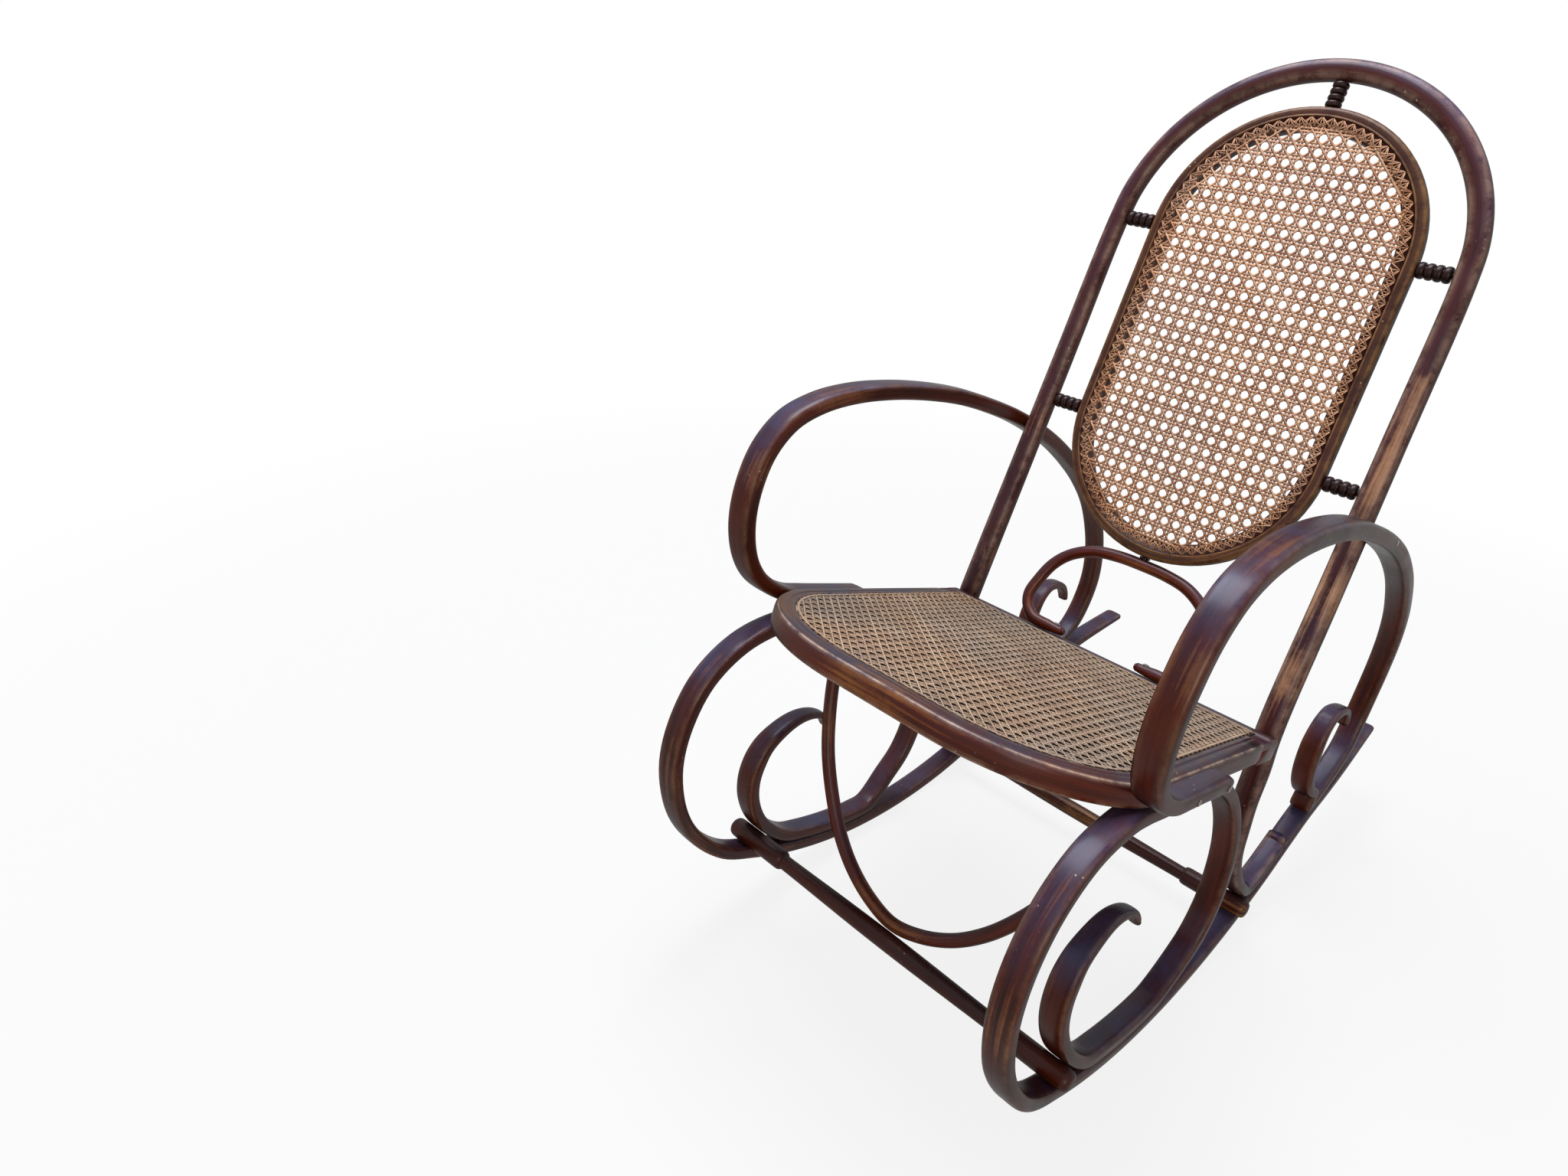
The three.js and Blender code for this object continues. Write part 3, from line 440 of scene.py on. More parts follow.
stock_bottom = STOCK_THICKNESS / 2
arc_middle = lengthwise(LOWEST_ALONG_SHARE)
arc_reach = lengthwise(ARC_END_ALONG_SHARE) - arc_middle
arc_rise = upward(ARC_END_UP_SHARE) - stock_bottom
arc_radius = (arc_reach ** 2 + arc_rise ** 2) / (2 * arc_rise)
arc_last_turn = math.asin(arc_reach / arc_radius)
arc_stations = []
for i in range(ARC_SPANS + 1):
    turn = (ARC_FRONT_SHARE + (1 - ARC_FRONT_SHARE) * i / ARC_SPANS) * arc_last_turn
    arc_stations.append(Vector((RUNNER_ACROSS_SHARE * HALF_WIDTH, arc_middle + arc_radius * math.sin(turn),
                                stock_bottom + arc_radius * (1 - math.cos(turn)))))
runner_stations = placed(HOOP_SHARES) + arc_stations + placed(TAIL_SHARES)


def on_runner(station, lift):
    """A place over the runner, counted in stations of its floor arc and lifted square off its middle."""
    where = len(HOOP_SHARES) + station
    step = 0.002
    tangent = on_line(runner_stations, where + step) - on_line(runner_stations, where - step)
    return on_line(runner_stations, where) + ACROSS.cross(tangent.normalized()).normalized() * lift


def lap_on_runner(shares, lift):
    return [on_runner(station, lift + rise * STOCK_THICKNESS) for station, rise in shares]


def fullness(distance, reach, least):
    """How full a rod is at a distance from its end, which is rounded off over a reach."""
    return least + (1 - least) * math.sqrt(1 - (1 - min(1, distance / reach)) ** 2)


def stock_section(tip_distance, tail_distance, widen=1.0, thicken=1.0):
    """Stock, drawn in towards a scroll's tip, only thinned towards the tail, and rounded at its end."""
    taper = min(1, tip_distance / TIP_TAPER)
    thinning = min(taper, tail_distance / TIP_TAPER)
    blunt = fullness(min(tip_distance, tail_distance), TIP_THICKNESS, TIP_FULLNESS)
    width = blend(TIP_WIDTH, widen * STOCK_WIDTH, taper)
    thickness = blend(TIP_THICKNESS, thicken * STOCK_THICKNESS, thinning)
    return rod_section(blunt * width, blunt * thickness, blend(TIP_SQUARENESS, STOCK_SQUARENESS, taper))


def with_round_ends(points, reach=TIP_THICKNESS):
    """Adds close points at a line's ends, so that they can be rounded off."""
    start, end = points[0], points[-1]
    inward, back = (points[1] - start).normalized(), (points[-2] - end).normalized()
    steps = range(1, ROUND_STEPS + 1)
    return ([start] + [start + inward * reach * k * k / ROUND_STEPS ** 2 for k in steps] + points[1:-1]
            + [end + back * reach * k * k / ROUND_STEPS ** 2 for k in reversed(steps)] + [end])


seat_lap_height = SEAT_HEIGHT - RIM_DEPTH - GAP - stock_bottom
spiral_stations = (
    placed(SCROLL_SHARES)
    + lap_on_runner(SCROLL_LAP_SHARES, LAP)
    + placed(LEG_SHARES)
    + [Vector((across * HALF_WIDTH, lengthwise(along), seat_lap_height - drop * STOCK_THICKNESS))
       for across, along, drop in SEAT_LAP_SHARES]
    + runner_stations
)
SPIRAL_WORN = [
    (0.231, -0.497, 0.160, 0.12, 0.30), (0.226, -0.486, 0.290, 0.10, 0.22),
    (0.236, -0.420, 0.060, 0.10, 0.34), (0.226, -0.366, 0.163, 0.07, 0.20),
    (0.240, 0.000, 0.110, 0.09, 0.14), (0.236, -0.250, 0.012, 0.12, 0.30),
]
for hand, side in SIDES.items():
    line = with_round_ends(smooth_line(mirrored(spiral_stations, side), SIDE_PER_STATION))
    spiral = bent_rod(f"spiral_{hand}", line, lambda tangent, centre, i: ACROSS,
                      lambda start, end, centre: stock_section(start, end), bentwood)
    rub(spiral, SPIRAL_WORN, side)
    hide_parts(f"side_spiral_{hand}")
    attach(spiral, "root")


# Back hoop: one bent rod from the foot on the left runner, up the left post, over the arch and down again.
# It is oval, thickest at the seat, and its feet lie on the runners.
BACK_RECLINE = math.radians(2.3)
ARCH_RISE = 0.752
POST_WIDTH = 0.031
POST_THICKNESS = 0.026
ARCH_WIDTH = 0.025
ARCH_THICKNESS = 0.024
FOOT_WIDTH = 0.028
FOOT_THICKNESS = 0.019
POST_ACROSS_SHARE = 0.858
ARCH_RADIUS_SHARE = 0.815
REAR_LEG_SHARES = [
    [0.873, 0.034, 0.873], [0.877, 0.046, 0.759], [0.885, 0.065, 0.663], [0.892, 0.094, 0.562],
    [0.9, 0.148, 0.474], [0.909, 0.214, 0.408],
]
FOOT_LAP_SHARES = [[9.15, 0.34], [9.55, 0.08], [9.95, 0.01], [10.4, 0], [11, 0]]
POST_RISE_SHARES = [0, 0.33, 0.66]
ARCH_STEPS = 7
HOOP_SQUARENESS = 2.35
FOOT_SQUARENESS = 2.85
FOOT_FULLNESS = 0.4
ROD_PER_STATION = 8

back_up = Vector((0, math.sin(BACK_RECLINE), math.cos(BACK_RECLINE)))
back_front = Vector((0, -math.cos(BACK_RECLINE), math.sin(BACK_RECLINE)))
post_setback = POST_THICKNESS / 2 + GAP + RIM_DEPTH * math.tan(BACK_RECLINE)
arch_radius = ARCH_RADIUS_SHARE * HALF_WIDTH
arch_centre = ARCH_RISE - arch_radius


def in_back(across, rise, forward=0.0):
    """A point in the plane of the back, by its distance across, height above the seat and way forward."""
    return Vector((across, post_setback, SEAT_HEIGHT)) + back_up * rise + back_front * forward


def post_across(rise):
    share = rise / arch_centre
    return POST_ACROSS_SHARE * HALF_WIDTH * (1 - share) + arch_radius * share


def hoop_section(start, end, centre):
    rise = centre.z - SEAT_HEIGHT
    upper = min(1, max(0, rise / arch_centre))
    lower = min(1, max(0, -rise / (SEAT_HEIGHT / 2)))
    thickness = (POST_THICKNESS + upper * (ARCH_THICKNESS - POST_THICKNESS)
                 + lower * (FOOT_THICKNESS - POST_THICKNESS))
    width = POST_WIDTH + upper * (ARCH_WIDTH - POST_WIDTH) + lower * (FOOT_WIDTH - POST_WIDTH)
    blunt = fullness(min(start, end), FOOT_THICKNESS, FOOT_FULLNESS)
    return rod_section(blunt * thickness, blunt * width, blend(HOOP_SQUARENESS, FOOT_SQUARENESS, lower))


foot_lift = stock_bottom + FOOT_THICKNESS / 2 + GAP
arch_turns = [math.pi / 2 * i / ARCH_STEPS for i in range(ARCH_STEPS)]
half_hoop = (
    lap_on_runner(FOOT_LAP_SHARES, foot_lift)[::-1]
    + placed(REAR_LEG_SHARES)[::-1]
    + [in_back(post_across(s * arch_centre), s * arch_centre) for s in POST_RISE_SHARES]
    + [in_back(arch_radius * math.cos(turn), arch_centre + arch_radius * math.sin(turn))
       for turn in arch_turns]
)
hoop_stations = half_hoop + [in_back(0, ARCH_RISE)] + mirrored(half_hoop[::-1])
hoop_line = with_round_ends(smooth_line(hoop_stations, ROD_PER_STATION), FOOT_THICKNESS)


def hoop_front(tangent, centre, i):
    if centre.z > SEAT_HEIGHT:
        return back_front
    return ACROSS.cross(tangent) * (1 if i < len(hoop_line) / 2 else -1)


post_stain = stained_wood("stained post", "#1c0608", "#4e221e", "#4a4460", "#bc8c68", "#c8a48c",
                          everywhere=0.03, painted_sheen_share=0.9, edge_wear_and_highlight_share=0.3)
hoop = bent_rod("hoop", hoop_line, hoop_front, hoop_section, post_stain)
HOOP_WORN = [
    (0.222, -0.012, 0.470, 0.09, 0.50), (0.220, -0.010, 0.570, 0.10, 0.54),
    (0.214, -0.002, 0.780, 0.11, 0.30), (-0.222, -0.012, 0.460, 0.08, 0.34),
    (-0.218, -0.008, 0.660, 0.08, 0.28), (0.0, 0.020, 1.147, 0.08, 0.18),
]
STREAK_SPOTS = 18
STREAK_FOOT = 0.24
STREAK_LENGTH = 0.20
STREAK_REACH = 0.016
STREAK_STRENGTH = 0.6
STREAK_OUT = 0.003
STREAK_FORWARD = 0.012
streak_worn = []
for i in range(STREAK_SPOTS):
    rise = STREAK_FOOT + STREAK_LENGTH * i / (STREAK_SPOTS - 1)
    spot = in_back(post_across(rise) + STREAK_OUT, rise, STREAK_FORWARD)
    streak_worn.append((*spot, STREAK_REACH, STREAK_STRENGTH))
rub(hoop, HOOP_WORN + streak_worn)
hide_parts("back_hoop")
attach(hoop, "root")


# Arms: each is a bent rod whose lower end is a tab, screwed to the side of the seat. It comes round in
# front, runs level as the armrest, falls behind to the runner's tail and ends in the rear scroll.
TAB_SHARES = [
    [0.96, -0.44, 0.36], [0.96, -0.52, 0.36], [0.96, -0.6, 0.36], [0.961, -0.67, 0.37],
    [0.963, -0.735, 0.42],
]
ARM_SHARES = [
    [0.966, -0.805, 0.992], [0.97, -0.868, 1.045], [0.974, -0.916, 1.14], [0.977, -0.95, 1.284],
    [0.98, -0.958, 1.443], [0.98, -0.943, 1.598], [0.978, -0.897, 1.731], [0.974, -0.819, 1.826],
    [0.97, -0.712, 1.898], [0.965, -0.579, 1.951], [0.96, -0.433, 1.985], [0.956, -0.288, 2],
    [0.954, -0.137, 1.992], [0.954, 0, 1.973], [0.954, 0.129, 1.932], [0.95, 0.252, 1.871],
    [0.946, 0.365, 1.792], [0.938, 0.468, 1.697], [0.931, 0.566, 1.572], [0.923, 0.64, 1.424],
    [0.912, 0.698, 1.254], [0.904, 0.732, 1.076], [0.904, 0.738, 0.927], [0.908, 0.719, 0.815],
]
ARM_LAP_SHARES = [[12.9, 0.32], [12.5, 0.06], [12.2, 0.02], [11.95, 0.18]]
REAR_SCROLL_SHARES = [
    [0.91, 0.552, 0.672], [0.903, 0.504, 0.7], [0.898, 0.466, 0.74], [0.894, 0.438, 0.795],
    [0.892, 0.422, 0.855], [0.89, 0.42, 0.913], [0.89, 0.431, 0.963], [0.892, 0.457, 1],
    [0.896, 0.49, 1.016], [0.9, 0.525, 1.016], [0.902, 0.558, 1], [0.904, 0.586, 0.974],
    [0.905, 0.607, 0.94],
]
TAB_END = 0.012
TAB_END_SHARE = 0.6
ARM_STOCK_SHARES = [
    (0, 1, 1), (0.08, 1.02, 1.02), (0.15, 1.06, 1.1), (0.3, 1.05, 1.13), (0.5, 1.03, 1.15),
    (0.62, 1.02, 1.12), (0.7, 1, 1), (1, 0.96, 1),
]

tab_height = SEAT_HEIGHT - RIM_DEPTH + stock_bottom
arm_stations = (
    [Vector((across * HALF_WIDTH, lengthwise(along), tab_height + rise * STOCK_THICKNESS))
     for across, along, rise in TAB_SHARES]
    + placed(ARM_SHARES)
    + lap_on_runner(ARM_LAP_SHARES, LAP)
    + placed(REAR_SCROLL_SHARES)
)


def arm_section(start, end, centre):
    """Section of an arm, which is stouter than the stock in front and above."""
    if start < TAB_END:
        blunt = fullness(start, TAB_END, TIP_FULLNESS)
        thickness = blend(TAB_END_SHARE, 1, blunt) * STOCK_THICKNESS
        return rod_section(blunt * STOCK_WIDTH, thickness, STOCK_SQUARENESS)
    share = start / (start + end)
    for low, high in zip(ARM_STOCK_SHARES, ARM_STOCK_SHARES[1:]):
        if share <= high[0]:
            break
    part = (share - low[0]) / (high[0] - low[0])
    widen, thicken = [blend(low[k], high[k], part) for k in (1, 2)]
    return stock_section(end, start + end, widen, thicken)


ARM_WORN = [
    (0.254, -0.470, 0.470, 0.10, 0.18), (0.256, -0.462, 0.525, 0.055, 0.62),
    (0.252, -0.380, 0.630, 0.11, 0.34), (0.250, -0.150, 0.668, 0.16, 0.24),
    (0.248, 0.060, 0.655, 0.12, 0.20), (0.236, 0.420, 0.430, 0.10, 0.16),
]
for hand, side in SIDES.items():
    line = with_round_ends(smooth_line(mirrored(arm_stations, side), SIDE_PER_STATION), TAB_END)
    arm = bent_rod(f"armrest_{hand}", line, lambda tangent, centre, i: ACROSS, arm_section, bentwood)
    rub(arm, ARM_WORN, side)
    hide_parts(f"arm_{hand}")
    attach(arm, "root")


# Stretchers: two turned rods that are wedged between the runners and the pieces that come down on them.
# Their thick ends have square shoulders, and bare wood shows at the ends and along the middle.
STRETCHER_RADIUS = 0.013
STRETCHER_WAIST = 0.0095
STRETCHER_BELLY = 0.0115
STRETCHER_SHOULDER = 0.093
BELLY_STEPS = 14
BELLY_SWELL = 1.5
WEDGE_STEPS = 20
FRONT_WEDGE_STATIONS = (-1.6, 2)
REAR_WEDGE_STATIONS = (5.2, 9.2)
SAMPLES_PER_STATION = 20
TURNED_STEPS = 36
TURNED_GRAIN_RADIUS = 0.012
TURNED_CREASE = math.radians(42)


def wedge_seat(station, towards, samples, lift, clearance):
    """Where a round end just clears the middle lines of both rods."""
    open_at, shut_at = station, towards
    for _ in range(WEDGE_STEPS):
        middle = (open_at + shut_at) / 2
        seat = on_runner(middle, lift)
        if min(math.hypot(s.y - seat.y, s.z - seat.z) for s in samples) > clearance:
            open_at = middle
        else:
            shut_at = middle
    return on_runner(open_at, lift)


def turned(name, profile, centre, direction, stain):
    """Turned piece: a profile of radii and places along its axis, spun once round."""
    side = direction.cross(Vector((0.3, 0.5, 0.81))).normalized()
    start = settled(centre)
    axis = settled(centre + direction) - start
    radial = settled(centre + side) - start
    mesh = bpy.data.meshes.new(name)
    mesh.from_pydata([start + axis * along + radial * radius for radius, along in profile],
                     [(i, i + 1) for i in range(len(profile) - 1)], [])
    mesh.materials.append(stain)
    piece = new_object(name, mesh)
    bpy.ops.object.select_all(action="DESELECT")
    bpy.context.view_layer.objects.active = piece
    piece.select_set(True)
    bpy.ops.object.mode_set(mode="EDIT")
    bpy.ops.mesh.select_all(action="SELECT")
    bpy.ops.mesh.spin(steps=TURNED_STEPS, angle=2 * math.pi, center=start, axis=axis)
    bpy.ops.mesh.select_all(action="SELECT")
    bpy.ops.mesh.remove_doubles(threshold=0.00002)
    bpy.ops.mesh.normals_make_consistent(inside=False)
    bpy.ops.object.mode_set(mode="OBJECT")
    bpy.ops.object.shade_smooth_by_angle(angle=TURNED_CREASE)
    grain = piece.data.uv_layers.new(name="grain")
    other = axis.cross(radial)
    for polygon in piece.data.polygons:
        middle = polygon.center - start
        about = math.atan2(middle.dot(other), middle.dot(radial))
        for loop in polygon.loop_indices:
            offset = piece.data.vertices[piece.data.loops[loop].vertex_index].co - start
            flat = math.atan2(offset.dot(other), offset.dot(radial))
            flat += 2 * math.pi * round((about - flat) / (2 * math.pi))
            grain.data[loop].uv = (offset.dot(axis), flat * TURNED_GRAIN_RADIUS)
    wood_values(piece, [0.0] * len(piece.data.vertices))
    return piece


scroll_line = placed(SCROLL_SHARES) + lap_on_runner(SCROLL_LAP_SHARES, LAP)
scroll_samples = smooth_line(scroll_line, SAMPLES_PER_STATION)
post_samples = [s for s in smooth_line(half_hoop, SAMPLES_PER_STATION) if s.x > 0]
stretcher_lift = STRETCHER_RADIUS + stock_bottom + GAP
front_seat = wedge_seat(*FRONT_WEDGE_STATIONS, scroll_samples, stretcher_lift, stretcher_lift)
rear_seat = wedge_seat(*REAR_WEDGE_STATIONS, post_samples, stretcher_lift,
                       STRETCHER_RADIUS + FOOT_THICKNESS / 2 + GAP)
stretcher_bare = HALF_WIDTH - STRETCHER_SHOULDER
half_stretcher = [
    (0.0, -HALF_WIDTH), (0.0060, -HALF_WIDTH), (0.0094, -HALF_WIDTH + 0.0010),
    (0.0115, -HALF_WIDTH + 0.0030), (0.0126, -HALF_WIDTH + 0.0058),
    (STRETCHER_RADIUS, -HALF_WIDTH + 0.0100), (STRETCHER_RADIUS, -stretcher_bare - 0.0070),
    (0.0126, -stretcher_bare - 0.0030), (0.0112, -stretcher_bare - 0.0005),
    (STRETCHER_WAIST + 0.0006, -stretcher_bare),
]
for i in range(BELLY_STEPS + 1):
    along = -stretcher_bare + stretcher_bare * i / BELLY_STEPS
    swell = math.sin(math.pi / 2 * i / BELLY_STEPS) ** BELLY_SWELL
    half_stretcher.append((blend(STRETCHER_WAIST, STRETCHER_BELLY, swell), along + 0.0003))
other_half = [(radius, -along) for radius, along in half_stretcher[-2::-1]]
stretcher_profile = half_stretcher[:-1] + [(STRETCHER_BELLY, 0)] + other_half
turned_stain = stained_wood("stained turned wood", "#160403", "#50200f", "#3a3238", "#a87438", "#a87c50",
                            gloss=0.38, everywhere=0.02, painted_sheen_share=0.4)
STRETCHER_WORN = {
    "front_rail": [(0, -0.34, 0.07, 0.2, 0.14)],
    "rear_rail": [
        (0.258, 0.13, 0.12, 0.04, 0.6), (-0.258, 0.13, 0.12, 0.04, 0.6), (0, 0.13, 0.13, 0.24, 0.36),
    ],
}
for name, node_name, seat in (("front_rail", "front_stretcher", front_seat),
                              ("rear_rail", "rear_stretcher", rear_seat)):
    stretcher = turned(name, stretcher_profile, Vector((0, seat.y, seat.z)), ACROSS, turned_stain)
    rub(stretcher, STRETCHER_WORN[name])
    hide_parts(node_name)
    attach(stretcher, "root")


# Front bow: a thin bent rod whose ends are tenoned into the seat from below. It hangs down in front
# between the hoops and rests against the front stretcher.
BOW_RADIUS = 0.0085
BOW_HALF_WIDTH = 0.19552
BOW_TENON = 0.012
BOW_TENON_RADIUS = 0.005
BOW_TENON_INSET = 0.038
BOW_LEAN_SHARE = 0.8
SEAT_HALF_SHARE = 0.925
BOW_SHARES = [
    [0.2, 0.03], [0.4, 0.1], [0.57, 0.2], [0.72, 0.33], [0.84, 0.47], [0.92, 0.615], [0.975, 0.76],
    [1, 0.89],
]
ROD_POINTS = 16


def rod_across(tangent, centre, i):
    return tangent.cross(Vector((0, 1, 0)))


def round_section(radius):
    turns = [2 * math.pi * i / ROD_POINTS for i in range(ROD_POINTS)]
    return [(radius * math.cos(turn), radius * math.sin(turn), 0.0) for turn in turns]


seat_half = SEAT_HALF_SHARE * HALF_WIDTH
seat_underside = SEAT_HEIGHT - RIM_DEPTH
bow_reach = STRETCHER_BELLY + BOW_RADIUS + GAP
bow_along = front_seat.y + bow_reach * math.sqrt(1 - BOW_LEAN_SHARE ** 2)
bow_foot = front_seat.z + bow_reach * BOW_LEAN_SHARE
half_bow = [
    Vector((across * BOW_HALF_WIDTH, bow_along, bow_foot + up * (seat_underside - bow_foot)))
    for across, up in BOW_SHARES
] + [Vector((seat_half - BOW_TENON_INSET, bow_along, seat_underside + rise)) for rise in (0, BOW_TENON)]
bow_stations = mirrored(half_bow[::-1]) + [Vector((0, bow_along, bow_foot))] + half_bow


def bow_section(start, end, centre):
    taper = min(1, max(0, min(start, end) - BOW_TENON) / BOW_TENON)
    return round_section(blend(BOW_TENON_RADIUS, BOW_RADIUS, taper))


rod_stain = stained_wood("stained rod", "#1e0603", "#6c2810", "#463c48", "#9a6434", "#b08a72",
                         everywhere=0.1)
bow_line = smooth_line(bow_stations, ROD_PER_STATION)
bow = bent_rod("hanging_bow", bow_line, rod_across, bow_section, rod_stain)
rub(bow, [(0.0, bow_along - 0.01, bow_foot, 0.14, 0.3), (0.165, bow_along, 0.24, 0.08, 0.25),
          (-0.165, bow_along, 0.24, 0.10, 0.35)])
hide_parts("front_bow")
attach(bow, "root")


# Seat rim: a flat beech ring, round at the front corners, with a straight rail across the back. Its upper
# edge is rounded and carries a pale line that is part wear and part painted highlight, a fine groove runs
# round the top, and a rebate holds the cane's edge.
RIM_WIDTH = 0.056
RIM_FACE = 0.023
CANE_THICKNESS = 0.002
SEAT_CORNER_ACROSS = 0.180
SEAT_CORNER_ALONG = 0.155
CORNER_STEPS = 26
SIDE_STEPS = 8
REBATE = CANE_THICKNESS + GAP
RIM_PROFILE = [
    [RIM_FACE - 0.0002, -REBATE, 0.0], [RIM_FACE - 0.0004, -0.0006, 0.1],
    [RIM_FACE - 0.0012, -0.0001, 0.2],
    [0.0178, 0.0, 0.1], [0.0166, -0.0003, 0.0], [0.0158, -0.0008, 0.0], [0.0146, -0.0008, 0.0],
    [0.0138, -0.0004, 0.0], [0.0120, -0.0003, 0.1], [0.0075, -0.0006, 0.0], [0.0040, -0.0014, 0.1],
    [0.0026, -0.0021, 1.0], [0.0014, -0.0032, 0.3], [0.0003, -0.0056, 0.0], [0.0, -0.0090, 0.0],
    [0.0, -0.0200, 0.0],
    [0.0004, -0.0245, 0.2], [0.0018, -0.0268, 0.8], [0.0046, -RIM_DEPTH, 0.5], [0.0300, -RIM_DEPTH, 0.0],
    [0.0530, -RIM_DEPTH, 0.1], [0.0552, -0.0268, 0.3],
    [RIM_WIDTH, -0.0240, 0.1], [RIM_WIDTH, -0.0060, 0.0], [RIM_WIDTH - 0.0006, -0.0035, 0.3],
    [RIM_WIDTH - 0.0025, -REBATE - 0.0002, 0.1], [0.0400, -REBATE, 0.0],
]


def seat_edge(inset, rear):
    """Outline of the seat drawn in by an inset, from its rear on one side round to the other."""
    corner_along = -SEAT_DEPTH + SEAT_CORNER_ALONG
    half = [(-seat_half + inset, rear + (corner_along - rear) * i / SIDE_STEPS) for i in range(SIDE_STEPS)]
    for i in range(CORNER_STEPS + 1):
        turn = math.pi / 2 * (i / CORNER_STEPS)
        across = seat_half - SEAT_CORNER_ACROSS + (SEAT_CORNER_ACROSS - inset) * math.cos(turn)
        half.append((-across, corner_along - (SEAT_CORNER_ALONG - inset) * math.sin(turn)))
    across, front = half[-1]
    middle = [(across * (1 - 2 * k / SIDE_STEPS), front) for k in range(1, SIDE_STEPS)]
    return half + middle + [(-across, along) for across, along in half[::-1]]


def profiled(name, profile, edge_at, lifted, stain, closed=False):
    """Moulding: the profile gives insets, heights and edges, and edge_at the outline for each inset."""
    outlines = [edge_at(inset) for inset, level, edge in profile]
    count, rows = len(outlines[0]), len(profile)
    verts = [settled(lifted(outlines[j][i], profile[j][1])) for i in range(count) for j in range(rows)]
    lengths = flat_lengths(outlines[0] + outlines[0][:1] if closed else outlines[0])
    girths = flat_lengths(profile + profile[:1])
    faces, uvs = tube(count, rows, lengths, [girths] * count)
    if not closed:
        last = (count - 1) * rows
        for base, order in ((0, range(rows - 1, -1, -1)), (last, range(rows))):
            faces.append(tuple(base + j for j in order))
            uvs += [tuple(profile[j][:2]) for j in order]
    return wooden_piece(name, verts, faces, uvs, [row[2] for row in profile] * count, stain)


def on_seat(point, level):
    return Vector((point[0], point[1], SEAT_HEIGHT + level))


END_SLOPE = [
    (0.0, -0.0090), (0.0003, -0.0056), (0.0014, -0.0032), (0.0026, -0.0021), (0.0040, -0.0014),
    (0.0075, 0.0),
]


def rear_edge(inset):
    ends = [seat_half - reach for reach, level in END_SLOPE]
    middle = ends[-1]
    inner = [middle - 2 * middle * i / SIDE_STEPS for i in range(1, SIDE_STEPS)]
    return [(across, -inset) for across in ends + inner + [-end for end in ends[::-1]]]


def on_rear_rail(point, level):
    """Rounds the rail's ends as the ring's upper edge is rounded."""
    reach = seat_half - abs(point[0])
    cap = next((height for near, height in END_SLOPE if reach <= near + 0.00001), 0.0)
    return on_seat(point, min(level, cap))


# The rim's pale last colour paints the highlight along its rounded top edge, together with edge wear.
rim_stain = stained_wood("stained rim", "#1a0302", "#66260e", "#3a3542", "#96602f", "#f0ccaa",
                         everywhere=0.02, painted_sheen_share=1.0)
ring_rear = -RIM_WIDTH - GAP
rim = profiled("seat_rim", RIM_PROFILE, lambda inset: seat_edge(inset, ring_rear), on_seat, rim_stain)
rub(rim, [(0.0, -0.497, 0.380, 0.16, 0.42), (-0.20, -0.44, 0.380, 0.12, 0.46),
          (0.239, -0.1, 0.372, 0.06, 0.15), (0.10, -0.490, 0.372, 0.10, 0.2)])
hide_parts("seat_bow")
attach(rim, "root")
rear_rim = profiled("rear_rim", RIM_PROFILE, rear_edge, on_rear_rail, rim_stain)
rub(rear_rim, [(0.243, -0.01, 0.366, 0.02, 0.4), (-0.243, -0.01, 0.366, 0.02, 0.3)])
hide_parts("seat_rear_rail")
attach(rear_rim, "root")


# Seat cane: split cane woven by hand in the usual way, pairs of strands both ways and single ones on both
# slants, with a binding strand over the holes along its edge.
SEAT_PITCH = 0.013
SEAT_STRAND = 0.0028
SEAT_PAIR_GAP = 0.0008
SEAT_BINDING = 0.0036
SEAT_FAN_STRAND = 0.0021
CANE_EDGE = 0.0005
STRAND_HEIGHT = 0.00025
LENGTHWISE_LEVEL = -0.0013
CROSSWISE_LEVEL = -0.0009
SLANT_LEVELS = {1: -0.00055, -1: -0.00025}
UNDER_LEVEL = -0.0018
HELD_LEVEL = -0.0015
PAIR_WAVE = 0.0003
SLANT_WAVE = 0.00025
SLANT_WIDTH_SHARE = 0.92
SHORTEST_SHARE = 0.4
UNDER_SHADE = -2.0
BINDING_LEVEL = -0.0001
BINDING_HEIGHT = 0.0005
BINDING_SHADE = 0.3
BINDING_SHIFT_SHARE = 0.3
FAN_STRAND_HEIGHT = 0.0003
FAN_ROOT_SHARE = 0.04
# Painted shade: the near-black colour of the strands laid below the seat weave, seen through its holes.
PAINTED_HOLE_SHADE_COLOR = "#0b0604"


def crossings(outline, start, direction):
    """Where a line crosses a closed outline, as distances along the line in order."""
    found = []
    for i in range(len(outline)):
        (ax, ay), (bx, by) = outline[i - 1], outline[i]
        ex, ey = bx - ax, by - ay
        cross = direction[0] * ey - direction[1] * ex
        if abs(cross) < 1e-12:
            continue
        wx, wy = ax - start[0], ay - start[1]
        share = (wx * direction[1] - wy * direction[0]) / cross
        if 0 <= share < 1:
            found.append((wx * ey - wy * ex) / cross)
    return sorted(found)


def add_strand(sheet, stations, width, height, lifted, shade):
    """Adds a thin domed strand. Each station gives its place, level and sideways direction."""
    verts, faces, shades = sheet
    base = len(verts)
    for x, y, level, side in stations:
        for out, up in ((-width / 2, 0), (0, height), (width / 2, 0), (0, -height)):
            verts.append(settled(lifted((x + side[0] * out, y + side[1] * out), level + up)))
            shades.append(shade)
    last = len(verts) - 4
    for p in range(base, last, 4):
        faces += [(p + j, p + 4 + j, p + 4 + (j + 1) % 4, p + (j + 1) % 4) for j in range(4)]
    faces += [(base, base + 1, base + 2, base + 3), (last + 3, last + 2, last + 1, last)]


def cane_piece(name, sheet, finish):
    verts, faces, shades = sheet
    piece = smooth_piece(name, verts, faces, finish)
    piece.data.attributes.new("strand", "FLOAT", "POINT").data.foreach_set("value", shades)
    return piece


